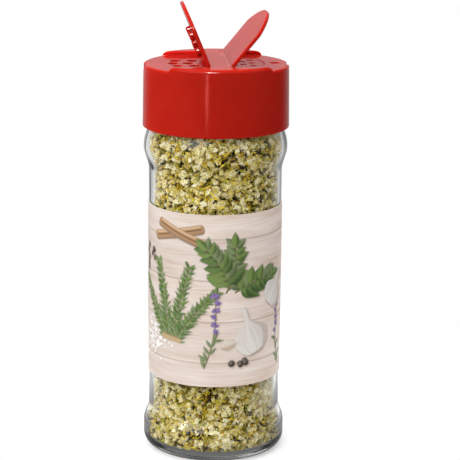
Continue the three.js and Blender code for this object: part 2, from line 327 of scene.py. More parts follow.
# Levels of the floor seen through the glass, in place of its lit look: painted shade under the jar, painted
# light under its middle, lighter beside it and darker ahead of it
PAINTED_SHADE_UNDER = (0.022, 0.045, 0.07, 0.26)
PAINTED_LIGHT_MIDDLE = (0.015, 0.019, 0.8, 0.0)
THROUGH_GLASS_BESIDE = (0.046, 0.058, 0.0, 0.65)
THROUGH_GLASS_AHEAD = (-0.05, -0.025, 0.1, 1.0)
MIRROR_NEAR = (0.05, 0.078, 0.7, 0.0)
MIRROR_LEVEL = 0.15

# World. A ramp gives two values of a direction's part and the levels there.
WORLD_REAR = (0.55, 0.95, 0.05, 0.5)
WORLD_SIDE = (-0.7, 0.7, 0.85, 0.2)
WORLD_ABOVE = 2.2
WORLD_SCATTERED = 0.8
ASIDE_CENTRE = 0.03
ASIDE = (0.2, 0.36, 0.28, 0.9)
ASIDE_RIGHT = (-0.2, 0.25, 1.0, 0.3)
ASIDE_FAR_RIGHT = (0.38, 0.6, 0.0, 0.55)
CARD_DEPTH = (0.44, 0.54, 0.28, 1.0)
CARD_AHEAD = (-0.3, 0.1, 0.1, 1.0)


# Helpers for shapes

def smoothstep(x, low, high):
    t = np.clip((x - low) / (high - low), 0, 1)
    return t * t * (3 - 2 * t)


def fillet(distance, radius):
    """How far a rounded edge has dropped at a distance in from that edge."""
    t = np.clip(radius - distance, 0, radius)
    return radius - np.sqrt(radius ** 2 - t ** 2)


def fillet_steps(radius, steps=ARC_STEPS):
    """Distances in from an edge that divide its rounding evenly."""
    return radius * (1 - np.cos(np.linspace(0, TURN / 4, steps + 1)))


def normalised(vectors):
    return vectors / np.linalg.norm(vectors, axis=1)[:, None]


def away_from(xy, centre=(0, 0)):
    """Flat distances of points from a centre."""
    return np.hypot(xy[..., 0] - centre[0], xy[..., 1] - centre[1])


def clear_of(xy, discs):
    """Which points don't lie well within any disc; each starts with its centre and radius."""
    clear = np.ones(len(xy), bool)
    for centre, radius, *_ in discs:
        clear &= away_from(xy, centre) > 0.9 * radius
    return clear


def around(steps):
    """Even angles round a full turn."""
    return np.arange(steps) * TURN / steps


def ring(radius, z, angles, centre=(0, 0)):
    """Points round an upright axis; radius and height may differ from point to point."""
    x = centre[0] + radius * np.cos(angles)
    y = centre[1] + radius * np.sin(angles)
    return np.column_stack([x, y, np.broadcast_to(z, x.shape)])


def circle(radius, steps, centre=(0, 0)):
    return ring(radius, 0, around(steps), centre)[:, :2]


def arc_points(centre, radius, start, end, steps):
    """Points along an arc between two angles in degrees."""
    angles = np.radians(np.linspace(start, end, steps + 1))
    return [(centre[0] + radius * math.cos(a), centre[1] + radius * math.sin(a)) for a in angles]


def spans(table):
    """Even steps over several spans, each given by its ends and count."""
    return np.concatenate([np.linspace(*span) for span in table])


def waves(angles, heights, terms):
    """Ripples round and up a wall, each given by its size, turns, climb and phase."""
    return sum(size * np.sin(turns * angles + climb * heights + phase) for size, turns, climb, phase in terms)


def helix_ridge(angles, heights, start, half_width):
    """The share of a thread ridge's height at each angle and height; its ends fade out."""
    share = np.zeros(np.broadcast(angles, heights).shape)
    length = TURN * THREAD_TURNS
    for turn in range(math.ceil(THREAD_TURNS)):
        along = angles + TURN * turn
        offset = heights - (start + THREAD_PITCH * along / TURN)
        ridge = 1 - smoothstep(np.abs(offset), 0.25 * half_width, half_width)
        fade = smoothstep(along, 0, THREAD_FADE) * (1 - smoothstep(along, length - THREAD_FADE, length))
        share = np.maximum(share, ridge * fade)
    return share


class Shell:
    """Points in millimetres and faces of one piece, gathered part by part."""

    def __init__(self):
        self.points = []
        self.faces = []

    def add(self, points):
        first = len(self.points)
        self.points.extend(tuple(p) for p in points)
        return list(range(first, len(self.points)))

    def strip(self, lower, upper, closed=True):
        count = len(lower)
        for i in range(count if closed else count - 1):
            j = (i + 1) % count
            self.faces.append((lower[i], lower[j], upper[j], upper[i]))

    def fan(self, row, tip):
        index = self.add([tip])[0]
        for i, corner in enumerate(row):
            self.faces.append((corner, row[(i + 1) % len(row)], index))

    def stack(self, layers, last=None, closed=True):
        """Rows of points, joined in turn, starting from a row that is there already if one is given."""
        made = []
        for points in layers:
            row = self.add(points)
            if last is not None:
                self.strip(last, row, closed)
            last = row
            made.append(row)
        return made

    def rows(self, radii, heights, angles, first=None):
        """Rings about Z, joined in turn."""
        return self.stack([ring(radius, z, angles) for radius, z in zip(radii, heights)], first)

    def sheet(self, loops, lines, marks, height, keep):
        """Meshes a flat layout of closed loops, open lines and marks, raised by height(xy).
        Returns each loop's row of points. keep says which triangles stay, by their centres."""
        flat = []
        edges = []
        rows = []
        for path, closed in [(p, True) for p in loops] + [(p, False) for p in lines]:
            first = len(flat)
            flat.extend(tuple(p) for p in path)
            last = len(flat) - 1
            edges.extend((i, i + 1) for i in range(first, last))
            if closed:
                edges.append((last, first))
                rows.append(range(first, last + 1))
        flat.extend(marks)
        result = delaunay_2d_cdt([Vector(p) for p in flat], edges, [], 0, 1e-5)
        layout = np.array([tuple(p) for p in result[0]])
        triangles = np.array(result[2])
        stays = keep(layout[triangles].mean(1))
        index = np.array(self.add(np.column_stack([layout, height(layout)])))
        self.faces.extend(tuple(t) for t in index[triangles[stays]].tolist())
        moved = {old: int(index[new]) for new, olds in enumerate(result[3]) for old in olds}
        return [[moved[i] for i in row] for row in rows]


def drop_loose(shape):
    """Deletes points that no face uses."""
    bmesh.ops.delete(shape, geom=[v for v in shape.verts if not v.link_faces], context="VERTS")


def make_piece(name, points, faces, materials, body=None, sharp=None, node=None):
    """A mesh object from points in millimetres, with its faces turned out. It may ride on a body and
    stand for a CAD node. Edges sharper than an angle in degrees stay sharp, or all without one."""
    mesh = bpy.data.meshes.new(name)
    mesh.from_pydata((np.asarray(points) * MM).tolist(), [], faces)
    shape = bmesh.new()
    shape.from_mesh(mesh)
    drop_loose(shape)
    bmesh.ops.recalc_face_normals(shape, faces=shape.faces)
    shape.to_mesh(mesh)
    shape.free()
    if sharp is None:
        mesh.shade_flat()
    else:
        mesh.shade_smooth()
        mesh.set_sharp_from_angle(angle=math.radians(sharp))
    for material in materials:
        mesh.materials.append(material)
    piece = bpy.data.objects.new(name, mesh)
    bpy.context.scene.collection.objects.link(piece)
    if sharp is not None:
        piece.modifiers.new("even_normals", "WEIGHTED_NORMAL").keep_sharp = True
    if body:
        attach(piece, body)
    if node:
        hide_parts(node)
    return piece


def set_attribute(piece, name, values, kind="FLOAT", key="value"):
    """Gives each of a piece's points a value that its material reads."""
    data = piece.data.attributes.new(name, kind, "POINT").data
    data.foreach_set(key, np.asarray(values, np.float32).ravel())


def use_second_material(piece, faces):
    for i in faces:
        piece.data.polygons[i].material_index = 1


# Materials

class Nodes:
    """Adds nodes to a shader tree. Each input is a number, a tuple or another node's output."""

    def __init__(self, tree):
        self.tree = tree

    def put(self, node, inputs):
        for key, value in inputs.items():
            socket = node.inputs[key]
            if isinstance(value, bpy.types.NodeSocket):
                self.tree.links.new(value, socket)
            else:
                socket.default_value = (*value, 1) if socket.type == "RGBA" else value

    def add(self, kind, inputs=None, output=0, **settings):
        """Adds a node and gives one of its outputs."""
        node = self.tree.nodes.new("ShaderNode" + kind)
        for key, value in settings.items():
            setattr(node, key, value)
        self.put(node, inputs or {})
        return node.outputs[output]

    def math(self, operation, *values, **settings):
        return self.add("Math", dict(enumerate(values)), operation=operation, **settings)

    def ramp(self, value, low, high, at_low, at_high, **settings):
        """A ramp of a value between two limits."""
        ends = {"Value": value, "From Min": low, "From Max": high, "To Min": at_low, "To Max": at_high}
        return self.add("MapRange", ends, **settings)

    def spread(self, value, low, high):
        """Maps a noise value about its middle to a range."""
        return self.ramp(value, 0.3, 0.7, low, high)

    def noise(self, scale, detail=3, stretch=(1, 1, 1), source=None):
        """Noise in the piece's own space, or along another vector."""
        if source is None:
            source = self.add("TexCoord", None, "Object")
        mapped = self.add("Mapping", {"Vector": source, "Scale": stretch})
        return self.add("TexNoise", {"Vector": mapped, "Scale": scale, "Detail": detail}, "Fac")

    def attribute(self, name, output="Fac"):
        return self.add("Attribute", None, output, attribute_name=name)

    def tones(self, factor, stops):
        """A colour ramp with stops given as position and colour."""
        colour = self.add("ValToRGB", {"Fac": factor}, "Color")
        elements = colour.node.color_ramp.elements
        while len(elements) < len(stops):
            elements.new(0.5)
        for element, (position, tone) in zip(elements, stops):
            element.position = position
            element.color = (*tone, 1)
        return colour

    def mix(self, factor, first, second, blend="MIX"):
        return self.add("Mix", {0: factor, 6: first, 7: second}, 2, data_type="RGBA", blend_type=blend)

    def mix_value(self, factor, first, second):
        return self.add("Mix", {0: factor, 2: first, 3: second}, data_type="FLOAT")

    def mix_shader(self, factor, first, second):
        return self.add("MixShader", {0: factor, 1: first, 2: second})

    def length(self, vector):
        return self.add("VectorMath", {0: vector}, "Value", operation="LENGTH")

    def emission(self, strength):
        return self.add("Emission", {"Strength": strength})

    def bump(self, shader, height, distance, strength):
        inputs = {"Height": height, "Distance": distance, "Strength": strength}
        self.put(shader, {"Normal": self.add("Bump", inputs)})

    def surface(self, closure):
        self.put(self.tree.nodes["Material Output"], {"Surface": closure})

    def clear_to_shadow_rays(self, shader, colour):
        """Lets light through a piece, tinted, on its way to other pieces."""
        clear = self.add("BsdfTransparent", {"Color": colour})
        shadow = self.add("LightPath", None, "Is Shadow Ray")
        self.surface(self.mix_shader(shadow, shader.outputs[0], clear))


def new_material(name):
    material = bpy.data.materials.new(name)
    material.use_nodes = True
    nodes = Nodes(material.node_tree)
    return material, nodes, material.node_tree.nodes["Principled BSDF"]


def red_plastic(name, tones, roughness, shine=0.14, thin=None):
    """Moulded polypropylene: slight tone drift, uneven gloss and a faint mould texture.
    A thin plate lets some coloured light through to what it shades."""
    material, nodes, shader = new_material(name)
    nodes.put(shader, {
        "Base Color": nodes.tones(nodes.noise(60, 2), tuple(zip((0.3, 0.7), tones))),
        "Roughness": nodes.spread(nodes.noise(180), roughness - 0.03, roughness + 0.03),
        "Specular IOR Level": shine,
        "Subsurface Weight": 0.75,
        "Subsurface Radius": (1.0, 0.12, 0.08),
        "Subsurface Scale": 0.0025,
    })
    nodes.bump(shader, nodes.noise(260, 2), 0.00002, 0.3)
    if thin:
        nodes.clear_to_shadow_rays(shader, thin)
    return material


def clear_glass():
    """Container glass that lets shadow rays through; faint cords and ripples bend its gloss."""
    material, nodes, shader = new_material("clear_glass")
    nodes.put(shader, {"Base Color": GLASS_TINT, "Transmission Weight": 1.0, "IOR": 1.5, "Roughness": 0.0})
    nodes.bump(shader, nodes.noise(45, 1, (1, 1, 0.4)), 0.0004, 0.12)
    nodes.clear_to_shadow_rays(shader, GLASS_TINT)
    return material


def grain_material(name, stops, roughness, mottle, shine):
    """Loose grains: each has its own tone, mottled by fine noise, and painted shade darkens it where it lies
    deep.
    """
    material, nodes, shader = new_material(name)
    speck = nodes.spread(nodes.noise(2800), 1 - mottle, 1 + mottle)
    mottled = nodes.mix(1.0, nodes.tones(nodes.attribute("tone"), stops), speck, "MULTIPLY")
    # painted shade: the grain's colour darkened for lying deep among the others
    deep = nodes.mix(1.0, mottled, GRAIN_SHADE, "MULTIPLY")
    nodes.put(shader, {
        "Base Color": nodes.mix(nodes.attribute("painted_depth_shade"), mottled, deep),
        "Roughness": nodes.spread(nodes.noise(900, 2), roughness - 0.08, roughness + 0.08),
        "Specular IOR Level": shine,
    })
    nodes.bump(shader, nodes.noise(2600), 0.0001, 0.6)
    return material


def core_material():
    """Herb dust deep between the grains; its near-black tones are painted shade for the depths of the fill.
    """
    material, nodes, shader = new_material("herb_dust_in_shade")
    tone = nodes.noise(700, 4)
    colour = nodes.tones(tone, DUST_SHADE_STOPS)
    nodes.put(shader, {"Base Color": colour, "Roughness": 0.9, "Specular IOR Level": GRAIN_SHINE})
    nodes.bump(shader, tone, 0.0006, 0.8)
    return material


def label_material():
    """Satin paper printed with pale boards; the motifs' ink comes from the sheet's own points. Painted light
    makes the boards lighter towards the right of the front and darker towards its left.
    """
    material, nodes, shader = new_material("printed_paper")
    flat = nodes.attribute("flat", "Vector")
    across, up, _ = nodes.add("SeparateXYZ", {0: flat}).node.outputs
    board = nodes.math("MULTIPLY_ADD", up, 1 / BOARD_HEIGHT, 0.5)
    number = nodes.math("FLOOR", board)
    share = nodes.math("FRACT", board)
    shift = nodes.add("CombineXYZ", {"X": nodes.math("MULTIPLY", number, BOARD_SHIFT)})
    moved = nodes.add("VectorMath", {0: flat, 1: shift}, operation="ADD")
    figure = nodes.noise(0.12, 3, (0.35, 2.6, 1), moved)
    fibre = nodes.noise(0.9, 5, (0.08, 2.4, 1), moved)
    wood = nodes.tones(nodes.mix_value(FIBRE_SHARE, figure, fibre), BOARD_STOPS)
    tone = nodes.add("TexWhiteNoise", {"W": number}, "Value", noise_dimensions="1D")
    # painted light: lighter to the right of the front, darker to its left, over each board's own tone
    turn = nodes.math("SINE", nodes.math("MULTIPLY", across, 1 / LABEL_RADIUS))
    tone_and_painted_light = nodes.math("MULTIPLY_ADD", turn, PAINTED_LIGHT_DRIFT, nodes.spread(tone, *BOARD_TINT))
    wood = nodes.mix(1.0, wood, tone_and_painted_light, "MULTIPLY")
    edge = nodes.math("MINIMUM", share, nodes.math("SUBTRACT", 1.0, share))
    joint = nodes.math("MULTIPLY_ADD", edge, JOINT_SLOPE, 1.0, use_clamp=True)
    wood = nodes.mix(nodes.math("MULTIPLY", joint, JOINT_STRENGTH), wood, JOINT_COLOUR)
    colour = nodes.mix(nodes.attribute("cover"), wood, nodes.attribute("ink", "Color"))
    nodes.put(shader, {
        "Base Color": nodes.mix(nodes.attribute("bare"), colour, PAPER_COLOUR),
        "Roughness": nodes.spread(nodes.noise(500), 0.42, 0.52),
        "Specular IOR Level": 0.35,
    })
    nodes.bump(shader, nodes.noise(3000, 2), 0.00002, 0.4)
    return material


def floor_material():
    """White studio floor: lit and shadowed near the object and plain white towards its edge. Seen
    through the glass it shows painted levels: painted shade under the jar, painted light under its
    middle, lighter beside it and darker ahead of it. Mirrored in the glass it is dimmer close to the jar."""
    material, nodes, shader = new_material("studio_floor")
    nodes.tree.nodes.remove(shader)
    place = nodes.add("TexCoord", None, "Object")
    path = nodes.add("LightPath").node.outputs
    diffuse = nodes.add("BsdfDiffuse", {"Color": FLOOR_COLOUR})
    lit = nodes.add("AddShader", {0: diffuse, 1: nodes.emission(FLOOR_GLOW)})
    fade = nodes.ramp(nodes.length(place), *FLOOR_FADE, 0, 1, interpolation_type="SMOOTHSTEP")
    seen = nodes.mix_shader(fade, lit, nodes.emission(1.0))
    direct = nodes.math("MAXIMUM", path["Is Camera Ray"], path["Is Glossy Ray"])
    both = nodes.mix_shader(direct, diffuse, seen)
    from_jar = nodes.add("VectorMath", {0: place, 1: (*FLOOR_MIDDLE, 0)}, operation="ADD")
    away = nodes.length(from_jar)
    x, y, _ = nodes.add("SeparateXYZ", {0: from_jar}).node.outputs
    # painted shade under the jar and painted light under its middle, seen through the glass
    level = nodes.math("ADD", nodes.ramp(away, *PAINTED_SHADE_UNDER), nodes.ramp(away, *PAINTED_LIGHT_MIDDLE))
    level = nodes.math("ADD", level, nodes.ramp(nodes.math("ABSOLUTE", x), *THROUGH_GLASS_BESIDE))
    level = nodes.math("MULTIPLY", level, nodes.ramp(y, *THROUGH_GLASS_AHEAD))
    behind = nodes.mix_shader(path["Is Transmission Ray"], both, nodes.emission(level))
    near = nodes.math("MULTIPLY", nodes.ramp(away, *MIRROR_NEAR), path["Is Glossy Ray"])
    nodes.surface(nodes.mix_shader(near, behind, nodes.emission(MIRROR_LEVEL)))
    return material


# Glass jar

def jar_radius(z):
    """The jar's outside radius at a height: base bead, straight panel, shoulder bead, neck."""
    base = BASE_RADIUS - (BASE_RADIUS - PANEL_RADIUS) * smoothstep(z, BASE_BEAD_TOP, PANEL_BOTTOM)
    swell = (SHOULDER_RADIUS - PANEL_RADIUS) * smoothstep(z, PANEL_TOP, SHOULDER_HEIGHT)
    drop = SHOULDER_RADIUS - NECK_RADIUS
    rise = NECK_BASE - SHOULDER_HEIGHT
    arc = (rise ** 2 + drop ** 2) / (2 * drop)
    up = np.clip(z - SHOULDER_HEIGHT, 0, arc)
    shoulder = SHOULDER_RADIUS - arc + np.sqrt(arc ** 2 - up ** 2)
    above = NECK_RADIUS + NECK_BLEND * np.log1p(np.exp((shoulder - NECK_RADIUS) / NECK_BLEND))
    return np.where(z < SHOULDER_HEIGHT, base + swell, np.minimum(above, SHOULDER_RADIUS))


def inner_radius(z):
    """The inside of the glass at a height, with its rounded floor corner."""
    wall = np.where(z > NECK_BASE, BORE_RADIUS, jar_radius(z) - GLASS_WALL)
    return wall - fillet(z - GLASS_FLOOR, INNER_HEEL_RADIUS)


def wall_heights(low):
    """Heights up a wall, as a column: close together where it curves or carries the thread."""
    marks = (low, BASE_BEAD_TOP, PANEL_BOTTOM, PANEL_TOP, SHOULDER_HEIGHT, NECK_BASE, JAR_TOP - RIM_RADIUS)
    counts = (4, 16, 12, 18, 18, 56)
    bends = [np.linspace(a, b, n, endpoint=False) for a, b, n in zip(marks, marks[1:], counts)]
    return np.append(np.concatenate(bends), marks[-1])[:, None]


def make_jar(material):
    shell = Shell()
    angles = around(JAR_STEPS)
    flat = RECESS_RADIUS - RECESS_SLOPE
    recess = np.append(np.linspace(FIRST_RING, flat, 5), np.linspace(flat, RECESS_RADIUS, 5)[1:])
    low = list(zip(recess, RECESS_DEPTH * (1 - smoothstep(recess, flat, RECESS_RADIUS))))
    low += arc_points((BASE_RADIUS - HEEL_RADIUS, HEEL_RADIUS), HEEL_RADIUS, -90, 0, 12)
    bottom = shell.rows(*zip(*low), angles)
    shell.fan(bottom[0], (0, 0, RECESS_DEPTH))

    z = wall_heights(HEEL_RADIUS + 0.5)
    thread = THREAD_HEIGHT * helix_ridge(angles, z, THREAD_START, THREAD_HALF_WIDTH)
    bead = BEAD_RISE * (1 - smoothstep(np.abs(z - BEAD_HEIGHT), BEAD_CREST, BEAD_HALF_WIDTH))
    seam = np.exp(-((np.abs(np.sin(angles)) * BASE_RADIUS / SEAM_WIDTH) ** 2))
    seam = SEAM_HEIGHT * seam * smoothstep(z, *SEAM_FADE)
    wall = shell.rows(jar_radius(z) + thread + bead + seam, z[:, 0], angles, bottom[-1])

    rim = arc_points((NECK_RADIUS - RIM_RADIUS, JAR_TOP - RIM_RADIUS), RIM_RADIUS, 15, 90, 5)
    rim += arc_points((BORE_RADIUS + RIM_RADIUS, JAR_TOP - RIM_RADIUS), RIM_RADIUS, 90, 165, 5)
    top = shell.rows(*zip(*rim), angles, wall[-1])

    z = wall_heights(GLASS_FLOOR + INNER_HEEL_RADIUS)[::-1]
    wave = waves(angles, z, WALL_WAVES) * (1 - smoothstep(z, SHOULDER_HEIGHT, NECK_BASE))
    bore = shell.rows(inner_radius(z) + wave, z[:, 0], angles, top[-1])
    corner = (BASE_RADIUS - GLASS_WALL - INNER_HEEL_RADIUS, GLASS_FLOOR + INNER_HEEL_RADIUS)
    floor = arc_points(corner, INNER_HEEL_RADIUS, -8, -90, 10)
    floor += [(radius, GLASS_FLOOR) for radius in np.linspace(corner[0] - 3, FIRST_RING, 5)]
    floor = shell.rows(*zip(*floor), angles, bore[-1])
    shell.fan(floor[-1], (0, 0, GLASS_FLOOR))
    make_piece("jar_glass", shell.points, shell.faces, [material], "jar", 60, "glass_jar")


# Fill of salt and herbs. Each form is about one millimetre across: its corners and triangles.

def hull(points):
    """A convex lump round some points."""
    shape = bmesh.new()
    for p in points:
        shape.verts.new(p)
    bmesh.ops.convex_hull(shape, input=shape.verts)
    drop_loose(shape)
    shape.verts.index_update()
    corners = np.array([v.co for v in shape.verts])
    faces = np.array([[v.index for v in f.verts] for f in shape.faces])
    shape.free()
    return corners, faces


def loft(rings):
    """A closed form through rings of points, given as an array of rings, points and axes."""
    count, sides, _ = rings.shape
    faces = []
    for i in range(count - 1):
        for j in range(sides):
            a = sides * i + j
            b = sides * i + (j + 1) % sides
            faces += [(a, b, b + sides), (a, b + sides, a + sides)]
    for end in (0, sides * (count - 1)):
        faces += [(end, end + i, end + i + 1) for i in range(1, sides - 1)]
    return rings.reshape(-1, 3), np.array(faces)


def crystal(rng):
    """A broken cube of salt."""
    corners = np.array([(x, y, z) for x in (-1, 1) for y in (-1, 1) for z in (-1, 1)], float)
    cut = corners[rng.integers(0, 8)] * rng.uniform(0.2, 0.7)
    extra = rng.uniform(-0.9, 0.9, (4, 3))
    return hull(0.5 * np.vstack([corners * rng.uniform(0.55, 1.0, (8, 3)), extra + 0.15 * cut]))


def lump(rng):
    """An irregular crumb."""
    return hull(0.5 * normalised(rng.normal(size=(11, 3))) * rng.uniform(0.7, 1, (11, 1)))


def flake(rng):
    """A curled scrap of dried leaf, closed and thin."""
    x = np.linspace(-0.5, 0.5, FLAKE_STATIONS)
    half = np.sqrt(np.clip(1.05 - (2 * x) ** 2, 0.05, 1)) * rng.uniform(0.7, 1.3, FLAKE_STATIONS)
    half = rng.uniform(0.16, 0.34) * half
    curl = rng.uniform(-0.5, 0.5) * x ** 2 + rng.uniform(-0.15, 0.15) * x
    fold = rng.uniform(-0.25, 0.25)
    upper = [np.column_stack([x, y * half, curl + abs(y) * fold * half]) for y in (-1, 0, 1)]
    thick = np.array((0, 0, FLAKE_HALF_THICKNESS))
    return loft(np.stack([line + thick for line in upper] + [line - thick for line in upper[::-1]], 1))


def sliver(rng):
    """A bent straw of stem."""
    x = np.linspace(-0.5, 0.5, SLIVER_STATIONS)
    bend = rng.uniform(-0.4, 0.4) * (x ** 2 - 0.25)
    width = rng.uniform(0.09, 0.17) * rng.uniform(0.8, 1.2, SLIVER_STATIONS)
    lines = [(x, width * math.cos(a), width * math.sin(a) + bend) for a in around(SLIVER_SIDES)]
    return loft(np.stack([np.column_stack(line) for line in lines], 1))


# Kinds of grain: piece, form, number of forms, share of the grains from and to, sizes from and to,
# and the material's name, stops, roughness, mottle and shine
GRAINS = (
    ("salt_crystals", crystal, 20, (-1, 0.3), (1.3, 2.6), ("coarse_salt", (
        (0.0, (0.55, 0.43, 0.1)),
        (0.35, (0.8, 0.68, 0.28)),
        (1.0, (0.99, 0.92, 0.62)),
    ), 0.3, 0.4, 0.12)),
    ("leaf_flakes", flake, 14, (0.3, 0.68), (1.0, 2.5), ("dried_leaf", (
        (0.0, (0.1, 0.075, 0.004)),
        (0.3, (0.3, 0.27, 0.015)),
        (0.5, (0.5, 0.49, 0.05)),
        (0.7, (0.68, 0.56, 0.05)),
        (1.0, (0.95, 0.74, 0.17)),
    ), 0.55, 0.5, GRAIN_SHINE)),
    ("stem_slivers", sliver, 10, (0.68, 0.92), (1.0, 2.8), ("dried_stem", (
        (0.0, (0.45, 0.26, 0.014)),
        (0.5, (0.74, 0.51, 0.035)),
        (1.0, (0.92, 0.72, 0.11)),
    ), 0.45, 0.35, GRAIN_SHINE)),
    ("dark_crumbs", lump, 10, (0.92, 2), (0.7, 1.6), ("dark_crumb", (
        (0.0, (0.02, 0.011, 0.003)),
        (1.0, (0.12, 0.07, 0.025)),
    ), 0.6, 0.3, GRAIN_SHINE)),
)


def turn_matrices(rng, count):
    """Evenly spread random rotations, one for each grain, from unit quaternions."""
    q = normalised(rng.normal(size=(count, 4)))
    cross = np.cross(q[:, None, 1:], np.eye(3)).transpose(0, 2, 1)
    return np.eye(3) + 2 * q[:, :1, None] * cross + 2 * cross @ cross


def crown_height(radius):
    """The heap's top at a distance from the axis."""
    return FILL_TOP + FILL_CROWN * (1 - (radius / BORE_RADIUS) ** 2)


def keep_inside(points):
    """Moves each grain in as a whole until it clears the glass, and trims what still reaches it.
    Points come grain by grain, as an array of grains, corners and axes."""
    floor = GLASS_FLOOR + GRAIN_GAP
    for _ in range(2):
        low = np.clip(floor - points[..., 2], 0, None).max(1)
        points = points + np.stack([0 * low, 0 * low, low], -1)[:, None]
        excess = away_from(points) - inner_radius(points[..., 2]) + GRAIN_GAP
        excess = np.clip(excess, 0, None).max(1)[:, None]
        middle = points.mean(1)
        inward = -middle[:, :2] / np.maximum(away_from(middle), 1e-6)[:, None]
        points = points + np.column_stack([inward * excess, 0 * excess])[:, None]
    z = np.clip(points[..., 2], floor, None)
    shrink = np.minimum(1, (inner_radius(z) - GRAIN_GAP) / np.maximum(away_from(points), 1e-6))
    return np.stack([points[..., 0] * shrink, points[..., 1] * shrink, z], -1)


def wall_places(rng, low, high, depth, cell):
    """Jittered places against the glass between two heights."""
    rows = int((high - low) / cell)
    columns = int(TURN * PANEL_RADIUS / cell)
    z, a = np.meshgrid(np.arange(rows), np.arange(columns), indexing="ij")
    z = low + (z + rng.uniform(0, 1, z.shape)) * (high - low) / rows
    a = (a + rng.uniform(0, 1, a.shape)) * TURN / columns
    r = inner_radius(z) - depth - rng.uniform(0, 0.5, z.shape)
    return ring(r.ravel(), z.ravel(), a.ravel())


def disc_places(rng, radius, height, cell):
    """Jittered places over a round surface whose height depends on the radius."""
    count = int(math.pi * radius ** 2 / cell ** 2)
    r = radius * np.sqrt((np.arange(count) + rng.uniform(0, 1, count)) / count)
    a = np.arange(count) * math.pi * (3 - math.sqrt(5)) + rng.uniform(-0.3, 0.3, count)
    return ring(r, height(r) + rng.uniform(-0.5, 0.1, count), a)


def grain_places(rng):
    """All the places that show through the glass, at the mouth, over the floor and at the label's seam."""
    places = []
    for depth, cell in GRAIN_LAYERS:
        places += [wall_places(rng, low, high, depth, cell) for low, high in WALL_ZONES]
        places.append(disc_places(rng, BORE_RADIUS - 0.8, lambda r: crown_height(r) - depth, cell))
        places.append(disc_places(rng, BASE_RADIUS - 6, lambda r: GLASS_FLOOR + depth, cell))
    seam = wall_places(rng, WALL_ZONES[0][1], WALL_ZONES[1][0], SEAM_DEPTH, GRAIN_CELL)
    places.append(seam[(np.abs(seam[:, 0]) < 2.5 * LABEL_SEAM) & (seam[:, 1] > 0)])
    return np.vstack(places)


def patches(rng, places):
    """A slow drift through the fill, so that salt lies in patches."""
    lengths = rng.uniform(*PATCH_LENGTH, PATCH_WAVES)
    ways = TURN * normalised(rng.normal(size=(PATCH_WAVES, 3))) / lengths[:, None]
    return np.cos(places @ ways.T + rng.uniform(0, TURN, PATCH_WAVES)).mean(1)


def burial(points):
    """How deep points lie in the fill, from the glass, the floor or the heap's top."""
    radius = away_from(points)
    z = points[:, 2]
    return np.minimum(inner_radius(z) - radius, np.minimum(z - GLASS_FLOOR, crown_height(radius) + 1 - z))


def scatter(rng, name, forms, places, sizes, material):
    """One merged piece of grains: each takes a form, a turn, a size and a tone of its own."""
    count = len(places)
    pick = rng.integers(0, len(forms), count)
    turns = turn_matrices(rng, count)
    scales = rng.uniform(*sizes, (count, 1)) * rng.uniform(0.75, 1.25, (count, 3))
    tone = rng.uniform(0, 1, count)
    points, faces, tones = [], [], []
    offset = 0
    for i, (corners, triangles) in enumerate(forms):
        mine = np.flatnonzero(pick == i)
        shaped = corners[None] * scales[mine][:, None]
        placed = np.einsum("gij,gpj->gpi", turns[mine], shaped) + places[mine][:, None]
        points.append(keep_inside(placed).reshape(-1, 3))
        start = offset + np.arange(len(mine))[:, None, None] * len(corners)
        faces.append((triangles[None] + start).reshape(-1, 3))
        tones.append(np.repeat(tone[mine], len(corners)))
        offset += len(mine) * len(corners)
    points = np.vstack(points)
    piece = make_piece(name, points, np.vstack(faces).tolist(), [material], "jar")
    set_attribute(piece, "tone", np.concatenate(tones))
    # painted shade: grains are darker the deeper they lie in the fill
    set_attribute(piece, "painted_depth_shade", smoothstep(burial(points), *GRAIN_SHADE_DEPTHS))


def make_fill():
    rng = np.random.default_rng(GRAIN_SEED)
    shell = Shell()
    angles = around(CORE_STEPS)
    z = spans(CORE_ROWS)[:, None]
    reach = np.minimum(inner_radius(z), inner_radius(z + 2)) - CORE_INSET
    wall = shell.rows(reach + waves(angles, z, CORE_WAVES), z[:, 0], angles)
    shell.fan(wall[0], (0, 0, GLASS_FLOOR + CORE_INSET))
    top = np.array(CORE_TOP_RINGS)
    heap = shell.rows(top, crown_height(top) - CORE_INSET, angles, wall[-1])
    shell.fan(heap[-1], (0, 0, crown_height(0) - CORE_INSET))
    core = core_material()
    make_piece("herb_core", shell.points, shell.faces, [core], "jar", 40, "spice_fill")

    places = grain_places(rng)
    kind = rng.uniform(size=len(places)) + PATCH_STRENGTH * patches(rng, places)
    for name, form, count, (low, high), sizes, look in GRAINS:
        forms = [form(rng) for _ in range(count)]
        here = places[(kind >= low) & (kind < high)]
        scatter(rng, name, forms, here, sizes, grain_material(*look))


# Label print

def between(first, second, share):
    """Colours part of the way from one to another."""
    return np.asarray(first) + (np.asarray(second) - np.asarray(first)) * share[..., None]


